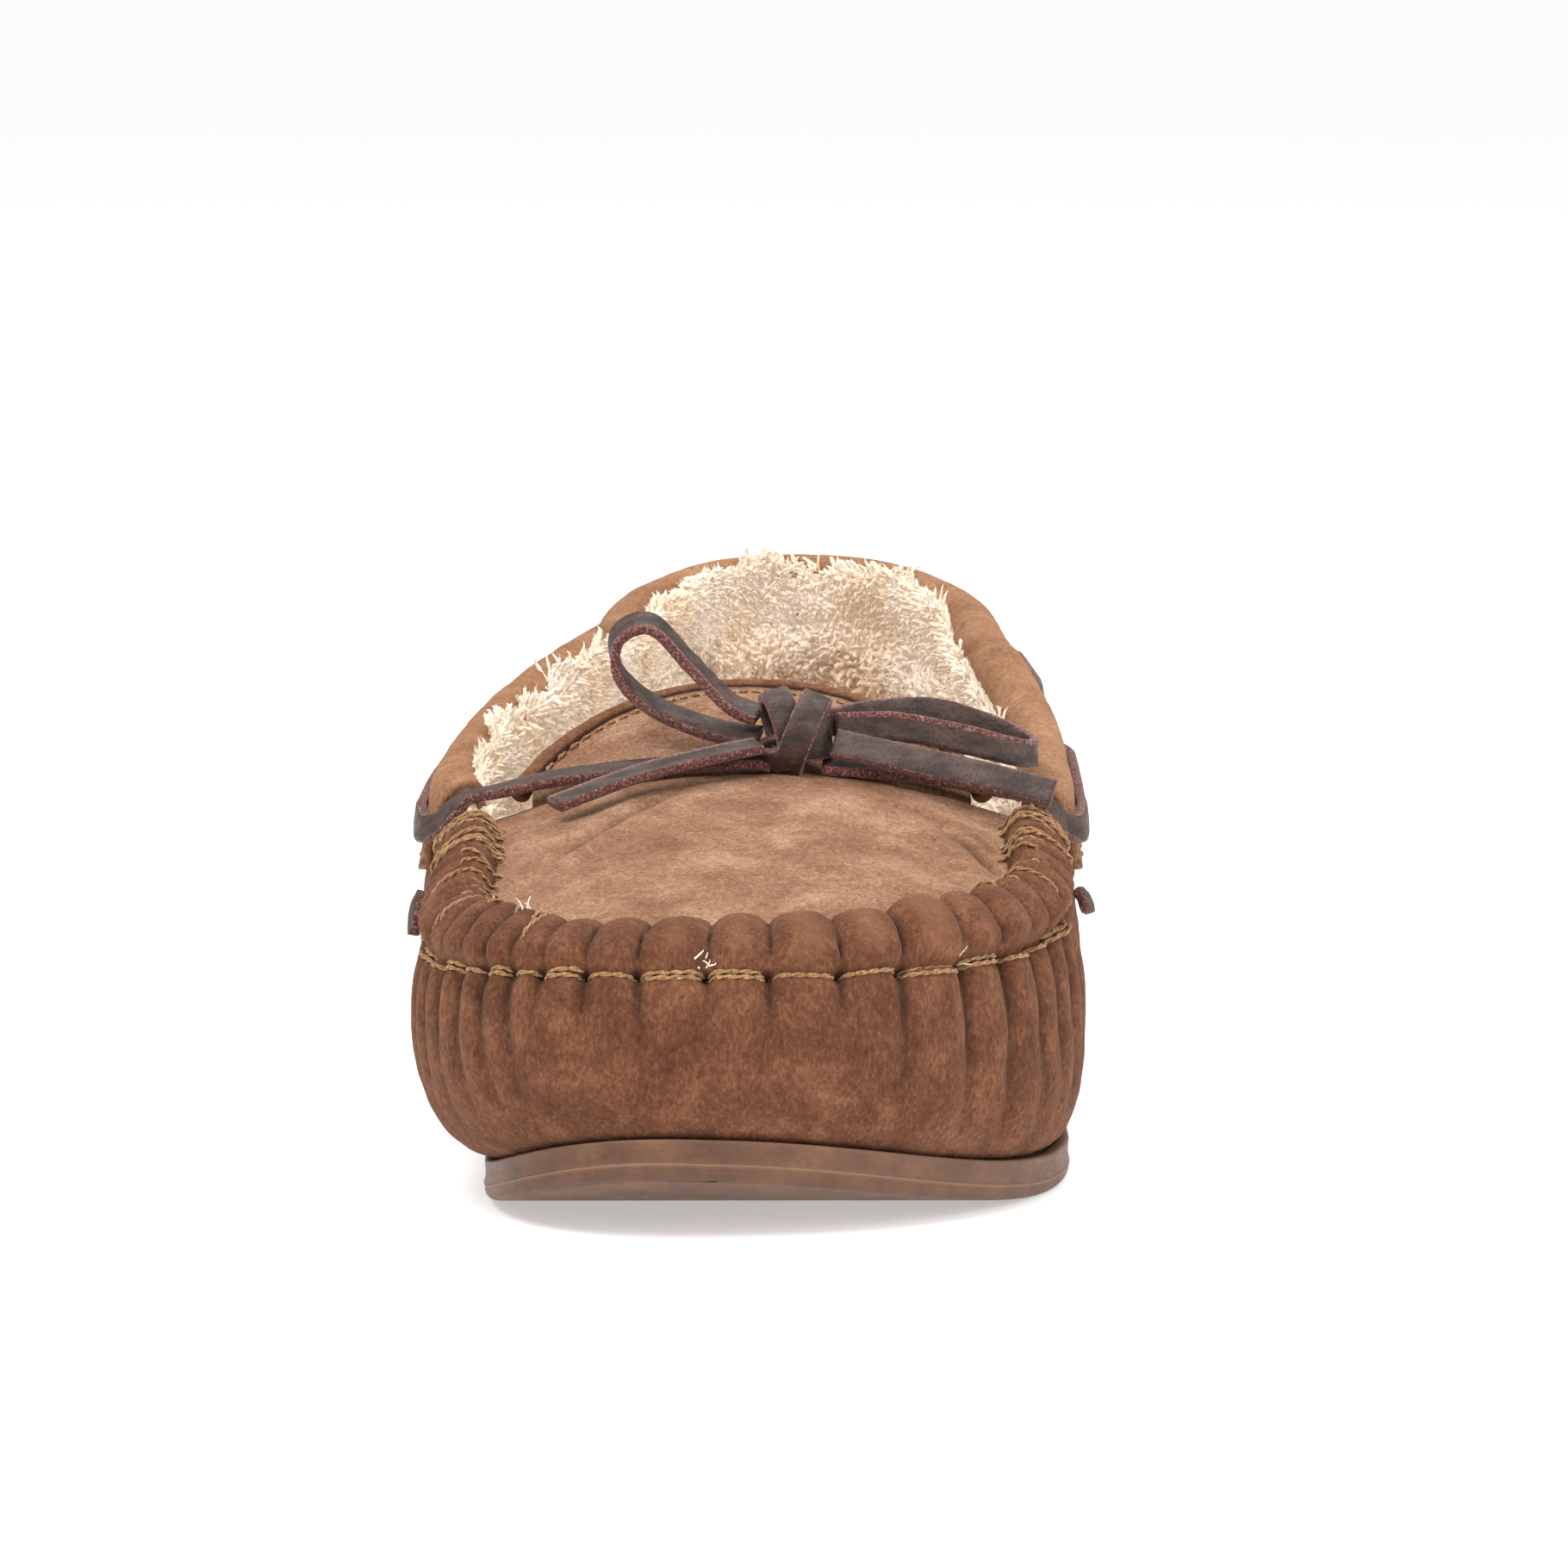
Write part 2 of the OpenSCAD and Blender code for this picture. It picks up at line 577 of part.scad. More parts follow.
// A slit goes through the cuff's outer layer, in three short steps along its curve
module slit(g) {
  per_mm = 0.1/norm(skin(g + 0.05, 1) - skin(g - 0.05, 1));
  half = (slit_len/2 + 2*lace_t)*per_mm;
  t0 = t_below(g, lace_depth + slit_h/2);
  t1 = t_below(g, lace_depth - slit_h/2);
  deep = -gap - cuff_w*0.28;
  proud = cuff_t + 2;
  for (i = [-1, 0, 1])
    hull()
      for (k = [(i - 0.5)/1.5, (i + 0.5)/1.5], t = [t0, t1], d = [deep, proud])
        translate(offset_at(g + half*k, t, d)) cube(0.01, center = true);
}
module cuff(side) {
  a = side < 0 ? g_cuff : 3 + gap/heel_top_w/2;
  b = side < 0 ? 3 - gap/heel_top_w/2 : 6 - g_cuff;
  n = round((b - a)/cuff_step);
  columns = steps(a, b, n);
  wide = fold_r + cuff_t/2;
  narrow = fold_r - cuff_t/2;
  lines_out = [for (g = columns) cuff_line(g, gap + cuff_t, -cuff_w - cuff_t, wide)];
  lines_in = [for (g = columns) cuff_line(g, gap, -cuff_w, narrow)];
  rows = len(lines_out[0]);
  color(cuff_colour) difference() {
    sheet(
      [for (i = [0:rows - 1]) [for (l = lines_out) l[i]]],
      [for (i = [0:rows - 1]) [for (l = lines_in) l[i]]]
    );
    for (w = windows) for (s = w) slit(collar_g(s, side));
  }
}
module collar_cuff_medial() { cuff(medial); }
module collar_cuff_lateral() { cuff(lateral); }

// ---------- the plug and its lining ----------

plug_rows_q = [0.06, 0.12, 0.2, 0.3, 0.4, 0.5, 0.62, 0.75, 0.88, 1];
plug_back_q = g_of_s(plug_back);
behind_ball = [for (i = [1:3]) mix(1, plug_back_q, i/3)];
plug_q = concat(plug_rows_q, behind_ball);
across = [1, 0.95, 0.85, 0.7, 0.5, 0.25, 0, -0.25, -0.5, -0.7, -0.85, -0.95, -1];
function crown(u) = 1 - pow(abs(u), 2.2);
function centre_z(s) =
  mix(seam_front_z, plug_back_z, pow(max(0, (s - seam_front)/(plug_back - seam_front)), 0.8));
plug_drop = 0.4;                         // how far the plug's edge sits below the seam
plug_edge = inset(top_outline, 3*gap);
// A point on the plug at q along and u across, raised by d
function plug_point(q, u, d, o = plug_edge) =
  let (
    m = outline(o, q, medial), l = outline(o, q, lateral),
    p = mix(m, l, (u + 1)/2), low = seam_z(p[1])
  )
  lift(p, low - plug_drop + (centre_z(p[1]) - low)*crown(u) + d);
module plug() {
  color(cuff_colour)
    sheet(
      [for (q = plug_q) [for (u = across) plug_point(q, u, 0)]],
      [for (q = plug_q) [for (u = across) plug_point(q, u, -suede_t)]]
    );
}
module plug_lining() {
  qs = concat([0.1, 0.2, 0.3, 0.4, 0.5, 0.62, 0.75, 0.88, 1], behind_ball);
  o = inset(plug_edge, 6*gap);
  color(fleece_colour)
    sheet(
      [for (q = qs) [for (u = across) plug_point(q, u, -suede_t - gap, o)]],
      [for (q = qs) [for (u = across) plug_point(q, u, -suede_t - gap - top_shearling_t, o)]]
    );
}

// ---------- the tongue ----------

root_sweep = 2.6;                        // how far back the tongue's root corners sit
tongue_edge = 8;                         // the tongue's length at its sides
tongue_rise = (tongue_tip_z - plug_back_z)/tongue_len;
tongue_x = middle(root_s);
tongue_axis_z = plug_back_z - 9;         // height of the line the tongue turns about
function tongue_run(u) = mix(tongue_edge, tongue_len, pow(1 - pow(abs(u), 2.2), 0.7)) - binding_d/2;
// A point on the tongue, v along from 0 at the root and u across, raised by d
function tongue_point(v, u, d, half = tongue_half_w, trim = 0) =
  let (
    run = tongue_run(u) - trim,
    s = root_s + root_sweep*u*u + v*(run - root_sweep*u*u),
    edge = tongue_half_w/seam_half_w*u
  )
  lift(
    [tongue_x + u*half, s],
    seam_z(plug_back) + (plug_back_z - seam_z(plug_back))*crown(edge) - plug_drop
    + tongue_rise*(s - root_s) + d
  );
tongue_u = [1, 0.96, 0.88, 0.75, 0.6, 0.4, 0.2, 0, -0.2, -0.4, -0.6, -0.75, -0.88, -0.96, -1];
module tongue() {
  color(cuff_colour)
    sheet(
      [for (v = steps(0, 1, 5)) [for (u = tongue_u) tongue_point(v, u, 0)]],
      [for (v = steps(0, 1, 5)) [for (u = tongue_u) tongue_point(v, u, -suede_t)]]
    );
}
module tongue_lining() {
  narrow = tongue_half_w - 2;
  vs = steps(0.05, 1, 4);
  top = -suede_t - gap;
  color(fleece_colour)
    sheet(
      [for (v = vs) [for (u = tongue_u) tongue_point(v, u, top, narrow, 1)]],
      [for (v = vs) [for (u = tongue_u) tongue_point(v, u, top - top_shearling_t, narrow, 1)]]
    );
}
module tongue_binding() {
  us = steps(-1, 1, 28);
  edge = [for (u = us) tongue_point(1, u, -suede_t/2)];
  out = [for (i = [0:28]) let (along = tangent(edge, i)) unit(cross([0, 0, 1], along))];
  color(suede_colour)
    swept(cord_rings(
      [for (i = [0:28]) edge[i] + out[i]*(binding_d/2 + 0.25)], [0, 0, 1], binding_d, 8
    ));
}
thread_gap = 0.15;                       // clearance between a stitch and the leather it holds
module tongue_stitches() {
  us = steps(-0.93, 0.93, 48);
  path = [for (u = us) tongue_point(0.93, u, thread_d/2 + thread_gap)];
  color(thread_colour) for (i = [1:2:47]) rod(path[i], path[i + 1], thread_d*0.8);
}

// ---------- threads on the upper ----------

module seam_stitches() {
  lift_off = thread_d/2 + thread_gap;
  color(thread_colour)
    for (k = [-puckers + 1:puckers - 2]) {
      gs = [for (f = [0.08, 0.29, 0.5, 0.71, 0.92]) g_at_arc((k + f)*pucker_len)];
      path = [
        for (g = gs)
          let (arch = sin(180*(g - gs[0])/(gs[4] - gs[0])))
          offset_at(g, stitch_t(g), lift_off + pucker_h*(0.6 + 0.55*arch))
      ];
      swept(cord_rings(path, [0, 0, 1], thread_d));
    }
}
corner_loops = 5;
module corner_stitches(side) {
  lift_off = thread_d/2 + lining_gap;
  gs = [for (i = [0:corner_loops - 1]) mix(g_end - 0.05, g_cuff - 0.07, i/(corner_loops - 1))];
  color(thread_colour)
    for (g1 = gs) {
      g = side < 0 ? g1 : 6 - g1;
      path = concat(
        [for (t = [0.72, 0.8, 0.88, 0.95]) offset_at(g, t, lift_off + pucker_h*gathered(g))],
        [offset_at(g, 1, lift_off) + [0, 0, thread_d]]
      );
      swept(cord_rings(path, [0, 1, 0], thread_d));
    }
}
module corner_stitches_medial() { corner_stitches(medial); }
module corner_stitches_lateral() { corner_stitches(lateral); }

cuff_stitch_step = 0.036;
module cuff_stitches(side) {
  a = side < 0 ? g_cuff + 0.03 : 3 + backstay_half;
  b = side < 0 ? 3 - backstay_half : 6 - g_cuff - 0.03;
  n = floor((b - a)/cuff_stitch_step);
  off = gap + cuff_t + thread_d*0.4 + thread_gap;
  color(thread_colour)
    for (i = [0:n - 1]) {
      g = a + i*cuff_stitch_step;
      h = g + cuff_stitch_step*0.6;
      rod(
        offset_at(g, t_below(g, cuff_outer - 1.8), off),
        offset_at(h, t_below(h, cuff_outer - 1.8), off),
        thread_d*0.8
      );
    }
}
module cuff_stitches_medial() { cuff_stitches(medial); }
module cuff_stitches_lateral() { cuff_stitches(lateral); }
module backstay_stitches() {
  off = gap + cuff_t + thread_d*0.4 + thread_gap;
  color(thread_colour)
    for (side = [-1, 1], i = [0:8]) {
      g = 3 + side*backstay_half*0.78;
      t = 0.1 + i*0.065;
      rod(offset_at(g, t, off), offset_at(g, t + 0.04, off), thread_d*0.8);
    }
}

// ---------- the lace ----------

lace_out = cuff_t + 3*gap + lace_t/2;   // where the lace lies on the cuff
lace_in = -lace_room/2;                 // where it runs inside the cuff
function in_window(s, w) = smooth((s - w[0])/slit_len + 0.5)*smooth((w[1] - s)/slit_len + 0.5);
function lace_offset(s) =
  mix(lace_in, lace_out + 0.2, max([for (w = windows) in_window(s, w)]));
over_s = throat_s - 3;                   // where the lace crosses the corner of the throat
lace_ss = concat(
  [for (s = [over_s + 19:5:heel_s]) s],
  [for (q = steps(2.08, 2.98, 11)) outline(top_outline, q, medial)[1]]
);
function lace_at(s, side) =
  let (g = collar_g(s, side)) offset_at(g, t_below(g, lace_depth), lace_offset(s));
function lace_face(s, side) = let (g = collar_g(s, side)) normal_at(g, t_below(g, lace_depth));
// Height of the tongue and plug under the lace at x
function bridge_z(x) =
  seam_z(plug_back) - plug_drop
  + (plug_back_z - seam_z(plug_back))*crown(min(1, abs(x - tongue_x)/seam_half_w));
// A point beside the wrap's top edge at a depth below it, and d outside it
function beside(side, s, depth, d) =
  let (g = collar_g(s, side)) offset_at(g, t_below(g, depth), d + lace_t/2);
function beside_face(side, s) = normal_at(collar_g(s, side), 0.9);
function edge_at(side, s) = skin(collar_g(s, side), 1);
// The lace over the throat, from its first slit over the throat's corner to the knot
function throat_path(side) = [
  lace_at(over_s + 12, side),
  beside(side, over_s + 6, 7, cuff_t + 3*gap),
  beside(side, over_s + 2.5, 6.4, 6*gap),
  beside(side, over_s + 0.5, 2.5, 8*gap),
  edge_at(side, over_s) + [side*0.4, 0, lace_t/2 + 1.4],
  edge_at(side, over_s) + [-side*4, -0.4, lace_t/2 + 2.4],
  lift([side*27, knot_s + 1.6], bridge_z(27) + 3),
  lift([knot_x + side*10, knot_s - 0.5], bridge_z(knot_x + side*10) + lace_t/2 + 1.2),
  lift([knot_x + side*4, knot_s - 0.5], bridge_z(knot_x) + lace_t/2 + 0.8)
];
function throat_faces(side) = [
  lace_face(over_s + 12, side),
  beside_face(side, over_s + 6),
  beside_face(side, over_s + 2.5),
  beside_face(side, over_s + 0.5),
  [side*0.7, -0.1, 1], [0, -0.1, 1], [side*0.3, -0.25, 1], [side*0.1, -0.25, 1], [0, -0.25, 1]
];
knot_x = 6.9;                            // the knot sits to the lateral side of the middle
knot_s = 94.5;                           // and over the tongue's root
knot_r = 5.4;
knot_len = 8.5;
knot_z = bridge_z(knot_x) + gap + lace_t + 0.3 + knot_r*0.86;
knot = lift([knot_x, knot_s], knot_z);
function flip(l) = [for (i = [len(l) - 1:-1:0]) l[i]];
// One side's lace, from the knot to the back of the heel
function half_path(side) =
  concat(flip(curve(throat_path(side), 3)), [for (s = lace_ss) lace_at(s, side)]);
function half_faces(side) =
  concat(flip(curve(throat_faces(side), 3)), [for (s = lace_ss) lace_face(s, side)]);
module collar_lace() {
  path = concat(half_path(medial), flip(half_path(lateral)));
  faces = concat(half_faces(medial), flip(half_faces(lateral)));
  color(lace_colour) swept(strap_rings(path, faces, lace_w, lace_t));
}

module bow_knot() {
  color(lace_colour)
    translate(knot) rotate([90, 0, 0])
      rotate_extrude($fn = 48)
        polygon([
          [0, -knot_len/2], [knot_r*0.7, -knot_len/2], [knot_r, -knot_len/4],
          [knot_r, knot_len/4], [knot_r*0.7, knot_len/2], [0, knot_len/2]
        ]);
}
// Straps of the bow, as steps from the knot's middle: [across, along, up]
bow_clear = 0.4;
loop_medial = [
  [-knot_r - bow_clear, 2.2, -1.2], [-12.4, 4.2, -0.4], [-21.7, 6, 3], [-27.4, 6.8, 8.2],
  [-27.6, 6.6, 14], [-22.5, 6, 15.9], [-16.4, 5, 10], [-10.6, 3.4, 4.2], [-knot_r - bow_clear, 2.2, 2]
];
loop_lateral = [
  [knot_r + bow_clear, 2.8, 1], [11, 7.6, 1.6], [21, 11.6, 1.6], [29.4, 12, -0.8],
  [35.2, 9.4, -3.2], [36.8, 6.2, -4.2], [33.6, 3, -3.6], [26, 2.2, -1.6], [16, 1.6, 0.4],
  [knot_r + bow_clear + 0.4, 0.8, 0.6]
];
tail_medial = [
  [-knot_r - bow_clear, -2.6, -2], [-12.4, -5.2, -3], [-24.5, -9, -5.6], [-37, -15.6, -9.4]
];
tail_lateral = [
  [knot_r + bow_clear, -2.2, -1.6], [16, -4.6, -3.6], [28, -7, -6], [39.4, -9.4, -8.6]
];
module strap(points, width_way) {
  path = [for (p = curve(points, 4)) knot + p];
  faces = [for (i = [0:len(path) - 1]) cross(tangent(path, i), width_way)];
  color(lace_colour) swept(strap_rings(path, faces, lace_w, lace_t));
}
module bow_loop_medial() { strap(loop_medial, [0.1, -0.85, -0.5]); }
module bow_loop_lateral() { strap(loop_lateral, [0, 0.15, 1]); }
module bow_tail_medial() { strap(tail_medial, [-0.25, 0.6, 0.75]); }
module bow_tail_lateral() { strap(tail_lateral, [0.1, 0.5, 0.85]); }

module lace_end(side) {
  g = side < 0 ? g_of_s(throat_s - 14) : 6 - g_of_s(throat_s - 14);
  t = 0.62;
  a = offset_at(g, t, lace_t/2 + 9*gap);
  color(lace_colour)
    swept(strap_rings(
      [a, a + [side*1.2, -0.5, -2], a + [side*2.6, -1.5, -6.5]],
      [[side, -0.3, 0.3], [side, -0.3, 0.3], [side, -0.3, 0.4]],
      lace_w*0.8, lace_t
    ));
}
module lace_end_medial() { lace_end(medial); }
module lace_end_lateral() { lace_end(lateral); }

outsole();
bottom_filler();
insole_board();
footbed_foam();
footbed_shearling();
vamp_wrap();
plug();
plug_lining();
wall_lining_medial();
wall_lining_lateral();
heel_counter();
backstay();
collar_cuff_medial();
collar_cuff_lateral();
tongue();
tongue_binding();
tongue_lining();
seam_stitches();
corner_stitches_medial();
corner_stitches_lateral();
tongue_stitches();
cuff_stitches_medial();
cuff_stitches_lateral();
backstay_stitches();
collar_lace();
bow_knot();
bow_loop_medial();
bow_loop_lateral();
bow_tail_medial();
bow_tail_lateral();
lace_end_medial();
lace_end_lateral();
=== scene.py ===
import math

import bmesh
import bpy
import numpy as np
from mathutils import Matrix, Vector


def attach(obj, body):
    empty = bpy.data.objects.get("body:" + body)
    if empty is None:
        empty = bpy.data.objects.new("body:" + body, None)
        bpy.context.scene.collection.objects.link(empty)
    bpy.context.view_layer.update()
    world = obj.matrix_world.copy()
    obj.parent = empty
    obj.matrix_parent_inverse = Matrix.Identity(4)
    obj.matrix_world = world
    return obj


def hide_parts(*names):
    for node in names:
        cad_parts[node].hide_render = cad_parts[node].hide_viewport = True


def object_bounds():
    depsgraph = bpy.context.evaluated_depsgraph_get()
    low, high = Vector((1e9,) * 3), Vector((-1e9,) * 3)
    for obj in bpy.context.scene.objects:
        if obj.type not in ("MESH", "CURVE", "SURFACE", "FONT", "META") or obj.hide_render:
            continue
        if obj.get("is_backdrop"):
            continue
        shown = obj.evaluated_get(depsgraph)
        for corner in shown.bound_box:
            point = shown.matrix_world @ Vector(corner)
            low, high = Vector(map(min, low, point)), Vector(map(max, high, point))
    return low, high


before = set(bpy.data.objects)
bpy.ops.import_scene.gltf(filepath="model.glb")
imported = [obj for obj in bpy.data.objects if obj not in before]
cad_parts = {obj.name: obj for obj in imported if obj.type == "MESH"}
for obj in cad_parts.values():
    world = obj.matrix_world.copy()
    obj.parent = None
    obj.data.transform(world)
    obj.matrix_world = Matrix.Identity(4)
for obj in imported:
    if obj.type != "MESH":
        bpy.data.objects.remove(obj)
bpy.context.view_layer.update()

MM = 0.001

# ---------- sizes, the same as the pattern's ----------

UPPER_LEN, BALL_HALF_W, HEEL_HALF_W = 248.0, 50.0, 36.3
TOE_LEAN, HEEL_LEAN, BALL_S, BALL_SKEW, SKEW_END = 5.0, 8.0, 62.0, 5.0, 1.25
THROAT_S, HEEL_LEN = 100.0, 52.0
HEEL_S = UPPER_LEN - HEEL_LEN
PLUG_BACK, RIDGE_END, RIDGE_JOIN, ROOT_S = THROAT_S - 6.6, THROAT_S - 12, 20.0, THROAT_S - 5.4
SEAM_FRONT, SEAM_FRONT_Z, SEAM_BACK_Z = 18.0, 43.0, 49.5
THROAT_Z, QUARTER_Z, HEEL_PEAK, PLUG_BACK_Z, TONGUE_TIP_Z = 56.0, 71.0, 7.0, 57.5, 68.5
SOLE_FRONT, SOLE_BACK, SOLE_T, HEEL_RISE, RIM_H, RIM_W = 3.0, 3.6, 3.2, 2.8, 2.8, 2.4
TOE_SPRING, SPRING_LEN, BEVEL, TREAD_DEPTH, TREAD_W, TREAD_PITCH = 9.4, 46.0, 1.6, 1.4, 3.0, 9.0
SUEDE_T, GAP, LAYER_GAP, LINING_GAP, SHEARLING_T, TOP_SHEARLING_T = 1.5, 0.1, 0.35, 0.6, 6.2, 4.6
BOARD_T, FOAM_T, FOOTBED_T = 1.5, 3.5, 5.8
SEAM_HALF_W, THROAT_HALF_W, HEEL_TOP_W = 39.0, 49.0, 32.5
CUFF_T, CUFF_W, CUFF_OUTER, CUFF_INNER = 1.2, 5.6, 12.0, 7.0
LACE_W, LACE_T, LACE_DEPTH, SLIT_LEN = 4.5, 1.6, 4.6, 9.0
TONGUE_HALF_W, TONGUE_LEN, TONGUE_EDGE, ROOT_SWEEP, BINDING_D = 34.0, 28.0, 8.0, 2.6, 3.4
FOLD_R = (CUFF_W + GAP + CUFF_T) / 2
WALL_OUT = SUEDE_T + LINING_GAP
MEDIAL, LATERAL = -1, 1
SIDES = ((MEDIAL, "medial"), (LATERAL, "lateral"))
UP = np.array([0, 0, 1])

# ---------- camera and light ----------

scene = bpy.context.scene
scene.view_settings.view_transform = "Standard"


def link(obj):
    scene.collection.objects.link(obj)
    return obj


def aim(obj, place, look):
    obj.location = place
    obj.rotation_mode = "QUATERNION"
    obj.rotation_quaternion = (-Vector(look)).to_track_quat("Z", "Y")
    return obj


camera = link(bpy.data.objects.new("camera", bpy.data.cameras.new("camera")))
camera.data.lens, camera.data.sensor_width = 186.3, 36
camera.data.clip_start, camera.data.clip_end = 0.05, 20
aim(camera, (0, -1.274, 0.2146), (0.004, 1, -0.128))
scene.camera = camera


def softbox(name, place, size, watts):
    lamp = bpy.data.lights.new(name, "AREA")
    lamp.shape, lamp.size, lamp.energy = "DISK", size, watts
    aim(link(bpy.data.objects.new(name, lamp)), place, Vector((0, 0, 0.04)) - Vector(place))


softbox("key_light", (-0.5, -0.7, 1.1), 0.7, 13)
softbox("fill_light", (0.9, -0.6, 0.6), 0.9, 6)
softbox("top_light", (0.1, 0.35, 1.2), 0.9, 9)
scene.world = bpy.data.worlds.new("studio")
scene.world.use_nodes = True
scene.world.node_tree.nodes["Background"].inputs["Color"].default_value = (1, 0.99, 0.975, 1)
scene.world.node_tree.nodes["Background"].inputs["Strength"].default_value = 0.62

# ---------- curves and the upper's surface ----------


def smooth(t):
    c = np.clip(t, 0, 1)
    return c * c * (3 - 2 * c)


def mix(a, b, t):
    return a + (b - a) * t


def unit(v):
    return v / np.maximum(np.linalg.norm(v, axis=-1, keepdims=True), 1e-9)


def middle(s):
    swing = smooth((s - THROAT_S - 8) / (HEEL_S + 2 - THROAT_S))
    return -TOE_LEAN * (1 - smooth(s / BALL_S)) + HEEL_LEAN * swing


def outline(o, q, side):
    """x and s on a plan outline. q runs from 0 at the toe, 1 at the ball and 2 at the heel, to 3."""
    a, b = np.radians(90 * np.minimum(q, 1)), np.radians(90 * np.maximum(q - 2, 0))
    sin_a, cos_a = np.sin(a), np.maximum(np.cos(a), 0)
    sin_b, cos_b = np.sin(b), np.maximum(np.cos(b), 0)
    skew = np.where(q < SKEW_END, side * BALL_SKEW * np.sin(np.pi * q / SKEW_END), 0)
    front = BALL_S - (BALL_S - o[0]) * cos_a ** (2 / o[5])
    back = HEEL_S + (o[1] - HEEL_S) * sin_b ** (2 / o[6])
    s0 = np.where(q <= 1, front, np.where(q <= 2, mix(BALL_S, HEEL_S, q - 1), back))
    ball = np.where(side < 0, o[2], o[3])
    wide = ball if len(o) < 8 else mix(ball, o[7], smooth((s0 - RIDGE_END) / RIDGE_JOIN))
    waist = smooth(np.maximum(0, (s0 - THROAT_S) / (HEEL_S - THROAT_S)) ** 1.4)
    heel = o[4] * cos_b ** (2 / o[6])
    half = np.where(q <= 1, ball * sin_a ** (2 / o[5]), np.where(q <= 2, mix(wide, o[4], waist), heel))
    s = s0 + skew
    return middle(s) + side * half, s


def inset(o, d):
    return [o[0] + d, o[1] - d, *(w - d for w in o[2:5]), o[5], o[6], *(w - d for w in o[7:])]


# Plan outlines: the front and back ends, half widths of the ball (medial, lateral) and of the heel, how
# square the toe and the heel are, and for the top edge the half width at the throat. LOW and HIGH shape
# the wall between the sole and the top edge so that it bulges out to the wanted size.
SOLE = [SOLE_FRONT, UPPER_LEN - SOLE_BACK, 39.4, 48.0, 33.4, 2.3, 2.1]
FEATHER = inset(SOLE, RIM_W + 3 * GAP)
TOP = [SEAM_FRONT, UPPER_LEN - 6, SEAM_HALF_W, SEAM_HALF_W, HEEL_TOP_W, 2.5, 2.2, THROAT_HALF_W]
HIGH = [-1.5, UPPER_LEN + 2, BALL_HALF_W + 0.5, BALL_HALF_W + 0.5, HEEL_HALF_W + 2, 2.4, 2.2]
WANTED = [0, UPPER_LEN, BALL_HALF_W, BALL_HALF_W, HEEL_HALF_W]
LOW = [(8 * w - FEATHER[i] - TOP[i] - 3 * HIGH[i]) / 3 for i, w in enumerate(WANTED)] + [2.4, 2.2]


def sole_bottom(s):
    return TOE_SPRING * np.maximum(0, 1 - (s - SOLE_FRONT) / SPRING_LEN) ** 2


def floor_z(s):
    return sole_bottom(s) + SOLE_T + HEEL_RISE * smooth((s - THROAT_S) / (HEEL_S - THROAT_S))


def rim_z(s):
    return floor_z(s) + RIM_H


def seam_z(s):
    return mix(SEAM_FRONT_Z, SEAM_BACK_Z, smooth((s - 30) / (THROAT_S - 35)))


def collar_z(s):
    rise = mix(THROAT_Z, QUARTER_Z, smooth((s - THROAT_S) / (HEEL_S - 6 - THROAT_S)))
    return rise + HEEL_PEAK * np.clip((s - HEEL_S - 4) / (HEEL_LEN - 7), 0, 1) ** 1.5 - FOLD_R


def top_z(s):
    return mix(seam_z(s), collar_z(s), smooth((s - RIDGE_END) / RIDGE_JOIN))


def plan(o, g):
    m = np.mod(g, 6)
    return outline(o, np.where(m <= 3, m, 6 - m), np.where(m <= 3, -1.0, 1.0))


def lift(p, z):
    return np.stack(np.broadcast_arrays(p[0], p[1] - UPPER_LEN / 2, z), -1)


def from_toe(p):
    """The distance from the toe, s, of points."""
    return p[..., 1] + UPPER_LEN / 2


def skin(g, t):
    """The upper's outer surface. g runs round the shoe, positive on the medial side up to 3 at the
    heel and negative on the lateral side. t runs from 0 at the sole to 1 at the seam or collar."""
    g, t = np.broadcast_arrays(np.asarray(g, float), np.asarray(t, float))
    p0, p1, p2, p3 = (plan(o, g) for o in (FEATHER, LOW, HIGH, TOP))
    z1 = rim_z(p1[1]) + GAP + mix(2, 13, smooth((p1[1] - THROAT_S + 10) / 60))
    z3 = top_z(p3[1])
    z2 = z3 + mix(8.5, -17, smooth((p3[1] - RIDGE_END + 3) / 30))
    t = t[..., None]
    u = 1 - t
    low = u**3 * lift(p0, rim_z(p0[1]) + GAP) + 3 * u * u * t * lift(p1, z1)
    return low + 3 * u * t * t * lift(p2, z2) + t**3 * lift(p3, z3)


def normal_at(g, t):
    t0, t1 = np.maximum(t - 0.02, 0), np.minimum(t + 0.02, 1)
    along = skin(g + 0.02, t) - skin(g - 0.02, t)
    return unit(np.cross(skin(g, t1) - skin(g, t0), along))


def offset_at(g, t, d):
    g, t, d = np.broadcast_arrays(*(np.asarray(x, float) for x in (g, t, d)))
    return skin(g, t) + d[..., None] * normal_at(g, t)


def wall_h(g):
    return skin(g, 1)[..., 2] - skin(g, 0)[..., 2]


def t_below(g, d):
    return 1 - d / wall_h(g)


def g_of_s(s):
    return 1 + (s - BALL_S) / (HEEL_S - BALL_S)


G_CUFF = g_of_s(THROAT_S + 2)
# Just past the back seam, where the two sides of the collar meet: sheets, then locks of wool
BACK_SEAM, BACK_WOOL = 3.004, 3.003
g_table = np.linspace(-3, 3, 12001)
step = np.linalg.norm(np.diff(skin(g_table, 1), axis=0), axis=1)
arc_table = np.concatenate([[0], np.cumsum(step)])
arc_table -= np.interp(0, g_table, arc_table)
edge_g = np.linspace(1, 3, 2001)
edge_s = plan(TOP, edge_g)[1]


def in_cuff(g):
    """0 in front of the cuff and 1 behind it."""
    return smooth((np.abs(g) - G_CUFF + 0.06) / 0.05)


def g_at_arc(a):
    return np.interp(a, arc_table, g_table)


def arc_of(g):
    return np.interp(g, g_table, arc_table)


